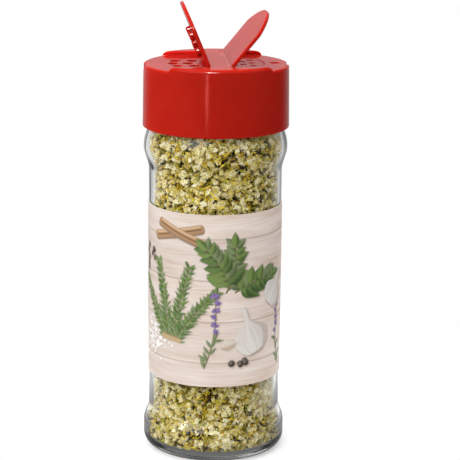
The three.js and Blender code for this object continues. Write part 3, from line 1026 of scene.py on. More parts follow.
class Print:
    """Ink on the label's flat grid, laid down motif by motif. Across runs right from the front."""

    def __init__(self, across, up):
        self.across, self.up = np.meshgrid(across, up)
        self.colour = np.zeros(self.across.shape + (3,))
        self.cover = np.zeros(self.across.shape)
        self.first = (across[0], up[0])
        self.step = (across[1] - across[0], up[1] - up[0])

    def window(self, centre, reach):
        """The part of the grid near a point."""
        parts = []
        for i, size in ((1, self.across.shape[0]), (0, self.across.shape[1])):
            middle = (centre[i] - self.first[i]) / self.step[i]
            half = reach / self.step[i]
            parts.append(slice(max(0, int(middle - half)), max(0, min(size, int(middle + half) + 2))))
        return tuple(parts)

    def lay(self, where, cover, colour):
        """Lays a colour over what is there."""
        under = self.cover[where] * (1 - cover)
        total = cover + under
        mixed = np.asarray(colour) * cover[..., None] + self.colour[where] * under[..., None]
        self.colour[where] = mixed / np.maximum(total, 1e-6)[..., None]
        self.cover[where] = total

    def local(self, where, origin, angle):
        """Along and across an axis that starts at a point."""
        dx = self.across[where] - origin[0]
        dy = self.up[where] - origin[1]
        return dx * math.cos(angle) + dy * math.sin(angle), dy * math.cos(angle) - dx * math.sin(angle)

    def motif(self, centre, reach, origin, angle, inside, ink, shadow=None):
        """Lays a motif's shadow and then its ink, near a centre. inside says how far a place lies
        within the outline and ink its colour, by the place along and across an axis. A shadow has
        its moves right and down, growth, softness, strength and colour."""
        where = self.window(centre, reach)
        if shadow:
            right, down, growth, soft, strength, colour = shadow
            x, y = self.local(where, (origin[0] + right, origin[1] - down), angle)
            self.lay(where, strength * smoothstep(inside(x, y) + growth, -soft, soft), colour)
        x, y = self.local(where, origin, angle)
        self.lay(where, smoothstep(inside(x, y), -INK_SOFT, INK_SOFT), ink(x, y))

    def leaf(self, base, angle, length, width, inks, strength=0.3):
        """A pointed leaf with a vein, a lit half and a darker rim."""
        def half(x):
            return 0.5 * width * np.sin(math.pi * np.clip(x / length, 0, 1) ** 0.8)

        def inside(x, y):
            return np.where((x > 0) & (x < length), half(x) - np.abs(y), OUTSIDE)

        def ink(x, y):
            vein = np.exp(-((y / (0.03 * width + 0.05)) ** 2))
            ribs = np.cos(TURN * (5 * np.clip(x / length, 0, 1) - 2.6 * np.abs(y) / width))
            rim = np.clip(np.abs(y) / np.maximum(half(x), 0.1), 0, 1) ** 3
            shade = 0.45 + 0.24 * np.tanh(4 * y / width) + 0.2 * vein + 0.05 * ribs - 0.22 * rim
            return between(*inks, np.clip(shade, 0, 1))

        middle = (base[0] + 0.5 * length * math.cos(angle), base[1] + 0.5 * length * math.sin(angle))
        shadow = (LEAF_DROP, LEAF_DROP, 0, INK_SOFT + LEAF_DROP, strength, SHADOW)
        self.motif(middle, 0.6 * length + 0.5 * width + 1, base, angle, inside, ink, shadow)

    def stem(self, points, width, colour):
        """A stalk through a few points."""
        for a, b in zip(points, points[1:]):
            length = math.dist(a, b)
            angle = math.atan2(b[1] - a[1], b[0] - a[0])
            middle = ((a[0] + b[0]) / 2, (a[1] + b[1]) / 2)

            def inside(x, y):
                return width / 2 - np.hypot(x - np.clip(x, 0, length), y)

            self.motif(middle, length / 2 + width + 1, a, angle, inside, lambda x, y: colour)

    def ball(self, centre, radius, inks):
        """A round berry or peppercorn, lit from the upper left."""
        def inside(x, y):
            return radius - np.hypot(x, y)

        def ink(x, y):
            lit = 1 - np.hypot(x + 0.35 * radius, y - 0.35 * radius) / (1.3 * radius)
            return between(*inks, np.clip(lit, 0, 1) ** 1.5)

        self.motif(centre, radius + 2, centre, 0, inside, ink, (0.3, 0.3, 0.2, 0.4, 0.35, SHADOW))

    def bulb(self, centre, radius, angle):
        """A garlic bulb: round cloves under papery skin, drawn up to a dry neck."""
        def half(up):
            belly = np.sqrt(np.clip(1 - np.clip(up, -1, 0) ** 2, 0, 1))
            return radius * np.where(up < 0, belly, 1 - 0.86 * smoothstep(up, 0, 0.95))

        def inside(x, y):
            up = x / radius
            return np.where((up > -0.93) & (up < 1.5), half(up) - np.abs(y), OUTSIDE)

        def ink(x, y):
            up = x / radius
            side = np.clip(y / np.maximum(half(up), 0.05), -1, 1)
            clove = np.exp(-((np.sin(1.5 * math.pi * (side + 0.12)) / 0.2) ** 2)) * (up < 0.85)
            streak = (0.5 + 0.5 * np.cos(17 * side)) * smoothstep(up, -0.7, 0.1)
            shade = 0.93 - 0.4 * np.clip(-side, 0, 1) ** 2 - 0.12 * side ** 2 - 0.25 * clove
            paper = between(*GARLIC, np.clip(shade, 0, 1))
            paper = between(paper, GARLIC_BLUSH, 0.28 * streak)
            return between(paper, GARLIC_ROOT, smoothstep(-up, 0.84, 0.93))

        shadow = (BULB_DROP, BULB_DROP, 0, INK_SOFT + BULB_DROP, 0.4, SHADOW)
        self.motif(centre, 2.2 * radius + 1, centre, angle, inside, ink, shadow)

    def crumb(self, centre, size, angle, colour):
        """A grain of salt."""
        def inside(x, y):
            return size - np.maximum(np.abs(x), np.abs(y))

        shadow = (0.15, 0.2, 0, 0.3, 0.3, CRUMB_SHADOW)
        self.motif(centre, 2 * size + 1, centre, angle, inside, lambda x, y: colour, shadow)


def curve(start, angle, length, bend, steps=8):
    """Points along a stalk that bends evenly, and its direction at each."""
    points = [start]
    turns = [angle]
    for _ in range(steps):
        angle += bend / steps
        x, y = points[-1]
        points.append((x + length / steps * math.cos(angle), y + length / steps * math.sin(angle)))
        turns.append(angle)
    return points, turns


def needle_sprig(ink, rng, start, angle, length, bend):
    """A twig with narrow leaves all along it."""
    points, turns = curve(start, angle, length, bend, 14)
    ink.stem(points, 0.55, STALK)
    for i, (point, turn) in enumerate(zip(points, turns)):
        reach = 4.6 * (1 - 0.45 * i / len(points))
        for side in (-1, 1):
            for lean in (0.55, 0.95):
                inks = GREENS[rng.integers(0, 3)]
                way = turn + side * (lean + rng.uniform(-0.15, 0.15))
                ink.leaf(point, way, reach * rng.uniform(0.8, 1.1), 0.95, inks, 0.12)


def round_sprig(ink, rng, start, angle, length, bend, leaf):
    """A soft stem with pairs of broad leaves and one at its tip."""
    points, turns = curve(start, angle, length, bend)
    ink.stem(points, 0.6, STALK)
    for i in range(1, len(points)):
        size = leaf * (1 - 0.5 * i / len(points)) * rng.uniform(0.9, 1.1)
        for side in (-1, 1):
            inks = GREENS[rng.integers(0, 3)]
            ink.leaf(points[i], turns[i] + side * rng.uniform(0.7, 1.15), size, 0.55 * size, inks)
    ink.leaf(points[-1], turns[-1], 0.7 * leaf, 0.36 * leaf, GREENS[1])


def blossom_sprig(ink, rng, start, angle, length, bend):
    """A thin stem with small purple blossoms towards its tip."""
    points, turns = curve(start, angle, length, bend, 10)
    ink.stem(points, 0.45, STALK)
    for i, (point, turn) in enumerate(zip(points, turns)):
        inks, count, extra = (PURPLES, 5, 0) if i > 4 else (GREENS[2], 2, 1.5)
        for _ in range(count):
            way = turn + rng.uniform(-1.4, 1.4)
            ink.leaf(point, way, rng.uniform(1.5, 2.3) + extra, 1.0, inks, 0.15)


def places_about(rng, centre, width, flatness, count):
    for _ in range(count):
        yield centre[0] + rng.normal() * width, centre[1] + rng.normal() * flatness * width


def scatter_crumbs(ink, rng, centre, width, count):
    for place in places_about(rng, centre, width, 0.6, count):
        tone = rng.uniform(0.72, 0.95)
        ink.crumb(place, rng.uniform(0.25, 0.6), rng.uniform(0, math.pi), (tone, 0.98 * tone, 0.95 * tone))


def scatter_corns(ink, rng, centre, width, count):
    for place in places_about(rng, centre, width, 0.7, count):
        ink.ball(place, rng.uniform(0.8, 1.15), PEPPER)


def cinnamon(ink, start, angle, length):
    """A rolled stick of bark with a lit edge and a dark fold."""
    ahead = np.array((math.cos(angle), math.sin(angle)))
    aside = np.array((-ahead[1], ahead[0]))
    for offset, width, colour in BARK:
        first = np.array(start) + offset * aside
        ink.stem([tuple(first), tuple(first + length * ahead)], width, colour)


def print_half(ink, rng, shift):
    """The motifs on one half of the label, placed from that half's middle."""
    scatter_crumbs(ink, rng, (shift - 24, -15), 4.5, 90)
    scatter_corns(ink, rng, (shift - 25, 13), 3.5, 9)
    cinnamon(ink, (shift - 21, 20), 0.22, 17)
    cinnamon(ink, (shift - 19, 24.5), -0.35, 16)
    scatter_corns(ink, rng, (shift + 9, -20), 3.0, 6)
    for lean in (0.5, 0.16, -0.2, -0.55):
        start = (shift - 15 - 3 * lean, -14)
        needle_sprig(ink, rng, start, TURN / 4 + lean, 27 - 9 * abs(lean), 0.5 * lean)
    ink.stem([(shift - 18.4, -13.2), (shift - 11.6, -13.8)], 1.5, TWINE)
    ink.stem([(shift - 18.2, -12.2), (shift - 11.8, -12.9)], 0.5, TWINE_SHADE)
    for x, y, angle, bend in ((4, 3, 1.1, 0.5), (7, 3, 0.5, -0.4), (5, 4, 1.75, 0.6)):
        round_sprig(ink, rng, (shift + x, y), angle, 15, bend, 7.5)
    blossom_sprig(ink, rng, (shift - 3, -22), 1.15, 24, 0.5)
    blossom_sprig(ink, rng, (shift + 27, -24), 1.9, 22, -0.5)
    ink.bulb((shift + 13, -12), 6.6, 1.9)
    ink.bulb((shift + 23.5, 1), 5.4, 0.9)
    ink.leaf((shift + 2, -15), 0.3, 6, 3.4, CLOVE)


def make_label(material):
    seam = LABEL_SEAM / 2 / LABEL_RADIUS
    columns = int((TURN * LABEL_RADIUS - LABEL_SEAM) / LABEL_CELL)
    rows = int((LABEL_TOP - LABEL_BOTTOM) / LABEL_CELL)
    angles = np.linspace(TURN / 4 + seam, 1.25 * TURN - seam, columns)
    across = (angles - 0.75 * TURN) * LABEL_RADIUS
    heights = np.linspace(LABEL_BOTTOM, LABEL_TOP, rows)
    rng = np.random.default_rng(INK_SEED)
    ink = Print(across, heights - (LABEL_BOTTOM + LABEL_TOP) / 2)
    for shift in PRINT_SHIFTS:
        print_half(ink, rng, shift)

    shell = Shell()
    outer = shell.stack([ring(LABEL_RADIUS, z, angles) for z in heights], closed=False)
    low, high = (shell.add(ring(LABEL_INNER, z, angles)) for z in (LABEL_BOTTOM, LABEL_TOP))
    for first, second in ((high, low), (outer[-1], high), (low, outer[0])):
        shell.strip(first, second, closed=False)
    for end in (0, -1):
        shell.faces.append(tuple([row[end] for row in outer] + [high[end], low[end]]))
    piece = make_piece(
        "label_sheet", shell.points, shell.faces, [material], "jar", 50, "wrap_label")

    printed = rows * columns
    total = len(shell.points)
    spare = np.zeros(total - printed)
    colour = np.ones((total, 4))
    colour[:printed, :3] = ink.colour.reshape(-1, 3)
    up = np.append(ink.up.ravel(), spare)
    set_attribute(piece, "ink", colour, "FLOAT_COLOR", "color")
    set_attribute(piece, "cover", np.append(ink.cover.ravel(), spare))
    set_attribute(piece, "bare", np.arange(total) >= printed)
    flat = np.column_stack([np.tile(across, rows + 2), up, np.zeros(total)])
    set_attribute(piece, "flat", flat, "FLOAT_VECTOR", "vector")


# Cap

def cap_radius(z):
    return CAP_BOTTOM_RADIUS - CAP_DRAFT * (z - CAP_BOTTOM) / (CAP_TOP - CAP_BOTTOM)


EDGE_RADIUS = float(cap_radius(DECK_TOP))
NOTCH_CENTRE = EDGE_RADIUS - NOTCH_DEPTH + NOTCH_RADIUS
# Centres of the large holes, measured from the axis towards the flap's tip
SHAKER_HOLES = [
    (math.sqrt(arc ** 2 - (side * SHAKER_SPACING) ** 2), side * SHAKER_SPACING)
    for arc in SHAKER_ARCS for side in (-1, 0, 1)
]
# Every hole in the deck as its centre and radius
DECK_HOLES = [((-x, y), SHAKER_HOLE) for x, y in SHAKER_HOLES] + [
    ((SPRINKLE_FIRST_ROW + i * SPRINKLE_PITCH, side * SPRINKLE_SPACING), SPRINKLE_HOLE)
    for i, row in enumerate(SPRINKLE_ROWS) for side in row
]


def edge_line(inset, angles):
    """The cap's outline drawn in by a distance: a circle with a thumb notch on each side."""
    reach = np.full(angles.shape, EDGE_RADIUS - inset)
    inside = (NOTCH_RADIUS + inset) ** 2 - (NOTCH_CENTRE * np.sin(angles)) ** 2
    notch = NOTCH_CENTRE * np.abs(np.cos(angles)) - np.sqrt(np.clip(inside, 0, None))
    return np.where(inside > 0, np.minimum(reach, notch), reach)


def edge_distance(xy):
    """How far a point lies inside the cap's outline."""
    notch = away_from(np.abs(xy), (NOTCH_CENTRE, 0)) - NOTCH_RADIUS
    return np.clip(np.minimum(EDGE_RADIUS - away_from(xy), notch), 0, None)


def raised_distance(xy):
    """How far a point lies inside the raised bridge and rims; below zero in the pockets."""
    x, y = np.abs(xy[:, 0]), np.abs(xy[:, 1])
    corner_x, corner_y = BRIDGE_HALF + POCKET_CORNER, POCKET_HALF - POCKET_CORNER
    corner = np.hypot(x - corner_x, y - corner_y) - POCKET_CORNER
    return np.where((x < corner_x) & (y > corner_y), corner, np.maximum(BRIDGE_HALF - x, y - POCKET_HALF))


def raised_share(distance):
    """Height of the pocket's wall from deck to rim, with a rounded top edge and foot."""
    full = CAP_TOP - DECK_TOP
    top = full - fillet(distance, WALL_ROUNDING)
    slope = FOOT_ROUNDING + (full - WALL_ROUNDING - FOOT_ROUNDING) * (1 + distance / WALL_SLOPE)
    foot = fillet(-distance - WALL_SLOPE, FOOT_ROUNDING)
    return np.where(distance > 0, top, np.where(distance > -WALL_SLOPE, slope, foot)) / full


def arc_distance(xy):
    """Distance from the seal rib's arc about the axis, on the side of +X."""
    angle = np.clip(np.arctan2(xy[:, 1], xy[:, 0]), -RIB_HALF_ANGLE, RIB_HALF_ANGLE)
    return away_from(xy, (RIB_ARC * np.cos(angle), RIB_ARC * np.sin(angle)))


def deck_height(xy):
    """The cap's top surface."""
    inset = edge_distance(xy)
    deck = DECK_TOP - fillet(inset, DECK_EDGE)
    rim = CAP_TOP - fillet(inset, RIM_EDGE)
    z = deck + raised_share(raised_distance(xy)) * (rim - deck)
    for centre, radius in DECK_HOLES:
        z = z - fillet(np.clip(away_from(xy, centre) - radius, 0, None), HOLE_ROUNDING)
    z = z - GROOVE_DEPTH * (1 - smoothstep(arc_distance(xy), 0.5 * GROOVE_HALF_WIDTH, GROOVE_HALF_WIDTH))
    dimple = away_from(xy, (LATCH_REACH, 0)) / DIMPLE_RADIUS
    return z - DIMPLE_DEPTH * (1 - smoothstep(dimple, *DIMPLE_WALL))


def pocket_line(distance):
    """One pocket's outline moved into its wall by a distance, from rim end to rim end on the +X side."""
    y = POCKET_HALF + distance
    centre = (BRIDGE_HALF + POCKET_CORNER, POCKET_HALF - POCKET_CORNER)
    along = np.linspace(math.sqrt(EDGE_RADIUS ** 2 - y ** 2), centre[0], 40, endpoint=False)
    upper = [(x, y) for x in along] + arc_points(centre, POCKET_CORNER + distance, 90, 180, 8)
    return upper + [(x, -y) for x, y in upper[::-1]]


def arc_loop(offset, steps=40):
    """A closed line at a distance round the seal rib's arc."""
    degrees = math.degrees(RIB_HALF_ANGLE)
    ends = [(RIB_ARC * math.cos(a), RIB_ARC * math.sin(a)) for a in (RIB_HALF_ANGLE, -RIB_HALF_ANGLE)]
    return (
        arc_points((0, 0), RIB_ARC + offset, -degrees, degrees, steps)
        + arc_points(ends[0], offset, degrees, degrees + 180, 6)[1:-1]
        + arc_points((0, 0), RIB_ARC - offset, degrees, -degrees, steps)
        + arc_points(ends[1], offset, 180 - degrees, 360 - degrees, 6)[1:-1]
    )


def wall_distances():
    """Distances across the pocket's wall, from its foot to its rounded top edge."""
    foot = -WALL_SLOPE - fillet_steps(FOOT_ROUNDING, 3)
    return np.concatenate([foot[::-1], fillet_steps(WALL_ROUNDING)])


def cap_angles():
    """Angles round the cap: even ones, the pocket walls' ends and the notches' corners."""
    even = around(CAP_STEPS)
    ends = [math.asin((POCKET_HALF + d) / EDGE_RADIUS) for d in wall_distances()]
    reach = (NOTCH_CENTRE ** 2 + EDGE_RADIUS ** 2 - NOTCH_RADIUS ** 2) / (2 * NOTCH_CENTRE)
    ends.append(math.acos(reach / EDGE_RADIUS))
    special = np.array([s for a in ends for s in (a, math.pi - a, math.pi + a, TURN - a)])
    spaced = even[np.abs(even[:, None] - special[None]).min(1) > 0.004]
    return np.sort(np.concatenate([spaced, special]))


def add_deck(shell, angles):
    """The cap's top: returns its outer row and each hole's row."""
    rims = [ring(edge_line(inset, angles), 0, angles)[:, :2] for inset in fillet_steps(RIM_EDGE, 8)]
    mouths = [circle(radius, HOLE_STEPS, centre) for centre, radius in DECK_HOLES]
    edges = fillet_steps(HOLE_ROUNDING, 3)[1:]
    lips = [circle(radius + d, HOLE_STEPS, centre) for centre, radius in DECK_HOLES for d in edges]
    grooves = [arc_loop(share * GROOVE_HALF_WIDTH) for share in GROOVE_LINES]
    dimples = [circle(s * DIMPLE_RADIUS, HOLE_STEPS, (LATCH_REACH, 0)) for s in np.linspace(*DIMPLE_WALL, 5)]
    walls = [pocket_line(d) for d in wall_distances()]
    lines = walls + [[(-x, y) for x, y in line] for line in walls]
    marks = [centre for centre, _ in DECK_HOLES] + [(EDGE_RADIUS, 0), (-EDGE_RADIUS, 0)]
    outline = edge_line(0, angles)

    def keep(xy):
        reach = np.interp(np.arctan2(xy[:, 1], xy[:, 0]) % TURN, angles, outline, period=TURN)
        return (away_from(xy) < reach) & clear_of(xy, DECK_HOLES)

    loops = [rims[0]] + mouths + rims[1:] + lips + grooves + dimples
    rows = shell.sheet(loops, lines, marks, deck_height, keep)
    return rows[0], rows[1:1 + len(DECK_HOLES)]


def add_underside(shell, angles):
    """Under the deck, with the ring that plugs the jar's bore."""
    inner, outer = SEAL_RING
    rings = (inner - SEAL_SLOPE, inner, inner + SEAL_EDGE, outer - SEAL_EDGE, outer, outer + SEAL_SLOPE)

    def height(xy):
        radius = away_from(xy)
        rise = smoothstep(radius, inner - SEAL_SLOPE, inner)
        return DECK_UNDERSIDE - SEAL_RING_DEPTH * rise * (1 - smoothstep(radius, outer, outer + SEAL_SLOPE))

    loops = [ring(cap_radius(DECK_UNDERSIDE) - CAP_WALL, 0, angles)[:, :2]]
    loops += [circle(radius, HOLE_STEPS, centre) for centre, radius in DECK_HOLES]
    loops += [circle(radius, SEAL_STEPS) for radius in rings]
    marks = [centre for centre, _ in DECK_HOLES]
    rows = shell.sheet(loops, [], marks, height, lambda xy: clear_of(xy, DECK_HOLES))
    return rows[0], rows[1:1 + len(DECK_HOLES)]


def make_cap(material, painted_light_material):
    """The cap; the pocket's wall behind the shaker deck has a brighter red of its own, painted light on that
    wall.
    """
    shell = Shell()
    angles = cap_angles()
    top_edge, top_holes = add_deck(shell, angles)
    under_edge, under_holes = add_underside(shell, angles)
    for above, below in zip(top_holes, under_holes):
        shell.strip(above, below)

    notched = edge_line(0, angles)
    skirt = [
        (notched + (cap_radius(z) - EDGE_RADIUS) + share * (EDGE_RADIUS - notched), z)
        for z, share in NOTCH_LEDGE
    ]
    lip = CAP_BOTTOM + LIP_ROUNDING
    skirt += [(cap_radius(z), z) for z in np.linspace(SKIRT_TOP, lip, 10)]
    skirt += arc_points((CAP_BOTTOM_RADIUS - LIP_ROUNDING, lip), LIP_ROUNDING, -12, -90, 6)
    inner_lip = (CAP_BOTTOM_RADIUS - CAP_WALL + INNER_LIP_ROUNDING, CAP_BOTTOM + INNER_LIP_ROUNDING)
    skirt += arc_points(inner_lip, INNER_LIP_ROUNDING, -90, -180, 4)
    outside = shell.rows(*zip(*skirt), angles, top_edge)

    z = spans(CAP_INSIDE_ROWS)[:, None]
    ridge = CAP_THREAD_HEIGHT * helix_ridge(angles, z, CAP_THREAD_START, CAP_THREAD_HALF_WIDTH)
    inside = shell.rows(cap_radius(z) - CAP_WALL - ridge, z[:, 0], angles, outside[-1])
    shell.strip(inside[-1], under_edge)
    materials = [material, painted_light_material]
    piece = make_piece(
        "cap_moulding", shell.points, shell.faces, materials, "cap", 38, "cap_body")
    centres = np.array([face.center for face in piece.data.polygons]) / MM
    across = raised_distance(centres)
    on_wall = (across > -WALL_SLOPE - FOOT_ROUNDING) & (across < 0.5 * WALL_ROUNDING)
    x, y, z = centres.T
    # the wall behind the shaker deck gets the brighter red of painted light
    behind = on_wall & (x < 0) & (z > DECK_TOP) & (np.abs(y) > FLAP_HALF)
    use_second_material(piece, np.flatnonzero(behind).tolist())


# Flaps

def flap_outline():
    """The plate's outline from its root, with +X towards its tip and the hinge at the origin."""
    hinge = sprinkle_hinge[0]
    tip = math.asin(FLAP_HALF / CAP_RADIUS) - FLAP_CORNER / CAP_RADIUS
    corner_x = math.sqrt(CAP_RADIUS ** 2 - FLAP_HALF ** 2) - hinge
    end = np.array((CAP_RADIUS * math.cos(tip) - hinge, CAP_RADIUS * math.sin(tip)))
    start = np.array((corner_x - FLAP_CORNER, FLAP_HALF))
    bend = np.array((corner_x, FLAP_HALF))
    shares = np.linspace(0, 1, 12)
    corner = [tuple((1 - t) ** 2 * start + 2 * t * (1 - t) * bend + t * t * end) for t in shares]
    root = (FLAP_ROOT + FLAP_ROOT_CORNER, FLAP_HALF - FLAP_ROOT_CORNER)
    side = arc_points(root, FLAP_ROOT_CORNER, 180, 90, 5)
    side += [(x, FLAP_HALF) for x in np.linspace(root[0], start[0], 8)[1:-1]] + corner
    degrees = math.degrees(tip)
    round_tip = arc_points((-hinge, 0), CAP_RADIUS, degrees, -degrees, 64)[1:-1]
    return np.array(side + round_tip + [(x, -y) for x, y in side[::-1]])


def drawn_in(outline, distance):
    """A clockwise outline moved inwards along its corners' normals."""
    before = normalised(outline - np.roll(outline, 1, 0))
    after = normalised(np.roll(outline, -1, 0) - outline)
    along = normalised(before + after)
    inward = np.column_stack([along[:, 1], -along[:, 0]])
    return outline + distance * inward / np.maximum(0.5, (before * along).sum(1))[:, None]


def set_on_hinge(points, hinge, opening):
    """Turns a flap from lying flat to its rest angle and puts it on its hinge."""
    side = math.copysign(1, hinge[0])
    angle = math.radians(opening)
    x, y, z = np.asarray(points).T
    out = x * math.cos(angle) - z * math.sin(angle)
    up = x * math.sin(angle) + z * math.cos(angle)
    return np.column_stack([side * out, side * y, up]) + hinge


def add_peg(shell, row, centre, radius, bottom, length, chamfer):
    """A plug that hangs from a ring in the plate's underside."""
    foot = [(1 - math.sin(a), 1 - math.cos(a)) for a in PEG_FOOT_TURNS]
    steps = [(radius + PEG_FOOT * out, bottom - PEG_FOOT * down) for out, down in foot]
    end = bottom - length
    straight = (bottom - PEG_FOOT - PEG_HOLD, end + chamfer + PEG_HOLD, end + chamfer)
    steps += [(radius, z) for z in straight]
    steps += [(radius - 0.5 * chamfer, end + 0.35 * chamfer), (radius - chamfer, end)]
    rows = shell.stack([ring(reach, z, around(HOLE_STEPS), centre) for reach, z in steps], row)
    shell.fan(rows[-1], (*centre, end))


def make_flap(name, node, body, hinge, opening, pegs, rib, materials):
    """A flap plate with its plugs, given as centre, radius, length and chamfer, and its seal rib.
    The plugs take the second material."""
    shell = Shell()
    bottom = FLAP_UNDERSIDE - hinge[2]
    top = bottom + FLAP_THICKNESS
    outline = flap_outline()
    steps = [(d, bottom + fillet(d, FLAP_ROUNDING)) for d in fillet_steps(FLAP_ROUNDING, 4)[::-1]]
    steps += [(d, top - fillet(d, FLAP_TOP_ROUNDING)) for d in fillet_steps(FLAP_TOP_ROUNDING, 5)]
    rings = [drawn_in(outline, d) for d, _ in steps]
    arc_shift = np.array((abs(hinge[0]), 0))

    def underside(xy):
        away = arc_distance(xy + arc_shift) / RIB_HALF_WIDTH
        return bottom - rib * (1 - smoothstep(away, RIB_LINES[0], RIB_LINES[-1]))

    loops = [rings[0]] + [circle(radius + PEG_FOOT, HOLE_STEPS, centre) for centre, radius, *_ in pegs]
    if rib:
        loops += [np.array(arc_loop(s * RIB_HALF_WIDTH)) - arc_shift for s in RIB_LINES]
    marks = [centre for centre, *_ in pegs]
    rows = shell.sheet(loops, [], marks, underside, lambda xy: clear_of(xy, pegs))
    first_peg = len(shell.faces)
    for row, (centre, radius, length, chamfer) in zip(rows[1:], pegs):
        add_peg(shell, row, centre, radius, bottom, length, chamfer)
    last_peg = len(shell.faces)
    edges = [np.column_stack([edge, np.full(len(edge), z)]) for edge, (_, z) in zip(rings, steps)]
    side = shell.stack(edges[1:-1], rows[0])
    cover = shell.sheet([rings[-1]], [], [], lambda xy: np.full(len(xy), top), lambda xy: clear_of(xy, []))
    shell.strip(side[-1], cover[0])
    points = set_on_hinge(shell.points, hinge, opening)
    piece = make_piece(name, points, shell.faces, materials, body, 38, node)
    use_second_material(piece, range(first_peg, last_peg))


def make_film(name, node, body, hinge, opening, material):
    """A thin strip that bends between the bridge and a flap."""
    angle = math.radians(opening)
    t = np.linspace(0, 1, FILM_STEPS + 1)[:, None]
    start = np.array((-FILM_REACH, 0))
    end = FILM_REACH * np.array((math.cos(angle), math.sin(angle)))
    path = (1 - t) ** 2 * start + t ** 2 * end
    along = normalised(np.gradient(path, axis=0))
    thin = 1 - FILM_THINNING * np.sin(math.pi * t)
    side = 0.5 * FILM_THICKNESS * thin * np.column_stack([-along[:, 1], along[:, 0]])
    section = np.vstack([path + side, (path - side)[::-1]])
    shell = Shell()
    columns = np.linspace(-FILM_HALF_LENGTH, FILM_HALF_LENGTH, FILM_COLUMNS)
    rows = shell.stack([np.insert(section, 1, y, axis=1) for y in columns])
    shell.faces += [tuple(rows[0]), tuple(rows[-1][::-1])]
    points = set_on_hinge(shell.points, hinge, 0)
    piece = make_piece(name, points, shell.faces, [material], None, 50, node)
    ends = set_on_hinge([(start[0], 0, start[1]), (end[0], 0, end[1])], hinge, 0) * MM
    tuple(ends[0])
    tuple(ends[1])
    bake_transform(piece)


# Camera, light and floor

def make_camera():
    data = bpy.data.cameras.new("camera")
    data.sensor_width = SENSOR_MM
    data.lens = FOCAL_PIXELS / IMAGE_SIDE * SENSOR_MM
    data.shift_x = SHIFT_PIXELS / IMAGE_SIDE
    camera = bpy.data.objects.new("camera", data)
    sin, cos = math.sin(CAMERA_AZIMUTH), math.cos(CAMERA_AZIMUTH)
    place = Vector((sin * CAMERA_DISTANCE, -cos * CAMERA_DISTANCE, CAMERA_HEIGHT))
    flat = math.cos(CAMERA_PITCH)
    forward = Vector((-sin * flat, cos * flat, -math.sin(CAMERA_PITCH)))
    right = Vector((cos, sin, 0))
    up = right.cross(forward)
    turned_right = math.cos(CAMERA_ROLL) * right + math.sin(CAMERA_ROLL) * up
    turned_up = math.cos(CAMERA_ROLL) * up - math.sin(CAMERA_ROLL) * right
    axes = Matrix((turned_right, turned_up, -forward)).transposed().to_4x4()
    camera.matrix_world = Matrix.Translation(place) @ axes
    bpy.context.scene.collection.objects.link(camera)
    bpy.context.scene.camera = camera


def add_light(name, place, target, size, watts, along=(0, 0, 1), only=None, colour=(1, 1, 1)):
    """A rectangular soft box; its long side runs along a direction, and it may glint only in some pieces."""
    data = bpy.data.lights.new(name, "AREA")
    data.shape = "RECTANGLE"
    data.size, data.size_y = size
    data.energy = watts
    data.color = colour
    light = bpy.data.objects.new(name, data)
    back = (Vector(place) - Vector(target)).normalized()
    side = Vector(along).cross(back).normalized()
    axes = Matrix((side, back.cross(side), back)).transposed().to_4x4()
    light.matrix_world = Matrix.Translation(place) @ axes
    bpy.context.scene.collection.objects.link(light)
    if only:
        receivers = bpy.data.collections.new(name + "_receivers")
        for piece in only:
            receivers.objects.link(piece)
        light.light_linking.receiver_collection = receivers
        light.visible_diffuse = False


def make_world():
    """White behind the object; dim in front for reflections, with grey cards beside the glass.
    Its soft light is stronger from the left and from above, and is dimmed where it has already
    come in through the glass by its shadow rays."""
    world = bpy.data.worlds.new("studio")
    world.use_nodes = True
    bpy.context.scene.world = world
    nodes = Nodes(world.node_tree)
    path = nodes.add("LightPath").node.outputs
    turn = {"Vector": nodes.add("TexCoord", None, "Generated"), "Angle": -CAMERA_AZIMUTH}
    direction = nodes.add("VectorRotate", turn, rotation_type="Z_AXIS")
    x, y, z = nodes.add("SeparateXYZ", {0: direction}).node.outputs
    aside = nodes.ramp(nodes.math("ABSOLUTE", nodes.math("ADD", x, ASIDE_CENTRE)), *ASIDE)
    right = nodes.math("ADD", nodes.ramp(x, *ASIDE_RIGHT), nodes.ramp(x, *ASIDE_FAR_RIGHT))
    aside = nodes.math("MULTIPLY", aside, right)
    cards = nodes.math("MINIMUM", aside, nodes.ramp(nodes.math("ABSOLUTE", y), *CARD_DEPTH))
    cards = nodes.math("MULTIPLY", cards, nodes.ramp(y, *CARD_AHEAD))
    above = nodes.math("MULTIPLY", nodes.ramp(z, 0, 1, 0, 1), nodes.ramp(z, 0, 1, 0, WORLD_ABOVE))
    soft = nodes.math("ADD", nodes.ramp(x, *WORLD_SIDE), above)
    scattered = nodes.math("MINIMUM", path["Diffuse Depth"], 1.0)
    through = nodes.mix_value(scattered, cards, WORLD_SCATTERED)
    level = nodes.mix_value(path["Is Glossy Ray"], soft, nodes.ramp(y, *WORLD_REAR))
    level = nodes.mix_value(path["Is Transmission Ray"], level, through)
    level = nodes.mix_value(path["Is Camera Ray"], level, 1.0)
    nodes.put(world.node_tree.nodes["Background"], {"Strength": level, "Color": (1, 1, 1)})


def make_floor():
    shell = Shell()
    rows = shell.rows(np.linspace(0.2, 1, 5) * FLOOR_RADIUS, np.zeros(5), around(FLOOR_STEPS))
    shell.fan(rows[0], (0, 0, 0))
    mesh = bpy.data.meshes.new("floor")
    mesh.from_pydata((np.array(shell.points) * MM).tolist(), [], shell.faces)
    mesh.materials.append(floor_material())
    floor = bpy.data.objects.new("floor", mesh)
    floor.location = (*FLOOR_MIDDLE, -FLOOR_DROP)
    bpy.context.scene.collection.objects.link(floor)


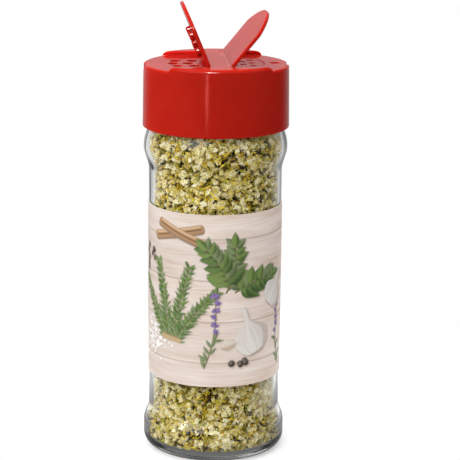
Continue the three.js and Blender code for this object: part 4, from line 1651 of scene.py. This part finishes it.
make_camera()
make_jar(clear_glass())
make_fill()
make_label(label_material())
cap_red = red_plastic("cap_red", RED, 0.13)
flap_reds = [red_plastic("flap_red", RED, 0.13, thin=PLATE_GLOW), red_plastic("plug_red", RED, 0.08, 0.5)]
# the hinge films' paler red is a painted highlight
film_highlight_red = red_plastic("film_highlight_red", FILM_HIGHLIGHT_RED, 0.2)
make_cap(cap_red, red_plastic("painted_light_red", PAINTED_LIGHT_RED, 0.13))
plugs = [((x + shaker_hinge[0], y), PEG_RADIUS, PEG_LENGTH, PEG_CHAMFER) for x, y in SHAKER_HOLES]
nub = [((LATCH_REACH - sprinkle_hinge[0], 0), NUB_RADIUS, NUB_LENGTH, NUB_CHAMFER)]
left = ("left_flap", shaker_hinge, shaker_opening)
right = ("right_flap", sprinkle_hinge, sprinkle_opening)
make_flap("left_flap_plate", "shaker_flap", *left, plugs, 0.0, flap_reds)
make_flap("right_flap_plate", "sprinkle_flap", *right, nub, RIB_HEIGHT, flap_reds)
make_film("left_hinge_strip", "shaker_hinge_film", *left, film_highlight_red)
make_film("right_hinge_strip", "sprinkle_hinge_film", *right, film_highlight_red)
make_world()
make_floor()

# Lamps: place, target and size in metres, then watts. The last three only glint in the red plastic.
middle = (0, 0, 0.07)
add_light("key", (-0.7, -0.75, 0.75), middle, (1.0, 1.0), 5.2)
add_light("fill", (0.9, -0.7, 0.5), middle, (1.0, 1.0), 0.2)
moulding = [bpy.data.objects[n] for n in ("cap_moulding", "left_flap_plate", "right_flap_plate")]
add_light(
    "strip", (-0.093, -0.285, 0.084), (0, 0, 0.12), (0.017, 0.03), 0.036,
    only=moulding, colour=(1, 0.3, 0.26))
add_light("spark", (-0.104, -0.413, 0.418), (0, -0.02, 0.128), (0.12, 0.2), 6.0, only=moulding[:1])
add_light(
    "glint", (-0.167, -0.323, 0.532), (-0.008, -0.005, 0.135), (0.07, 0.4), 1.6,
    along=(-0.33, 0.5, 0.8), only=moulding[1:2])
bpy.context.scene.view_settings.view_transform = "Standard"
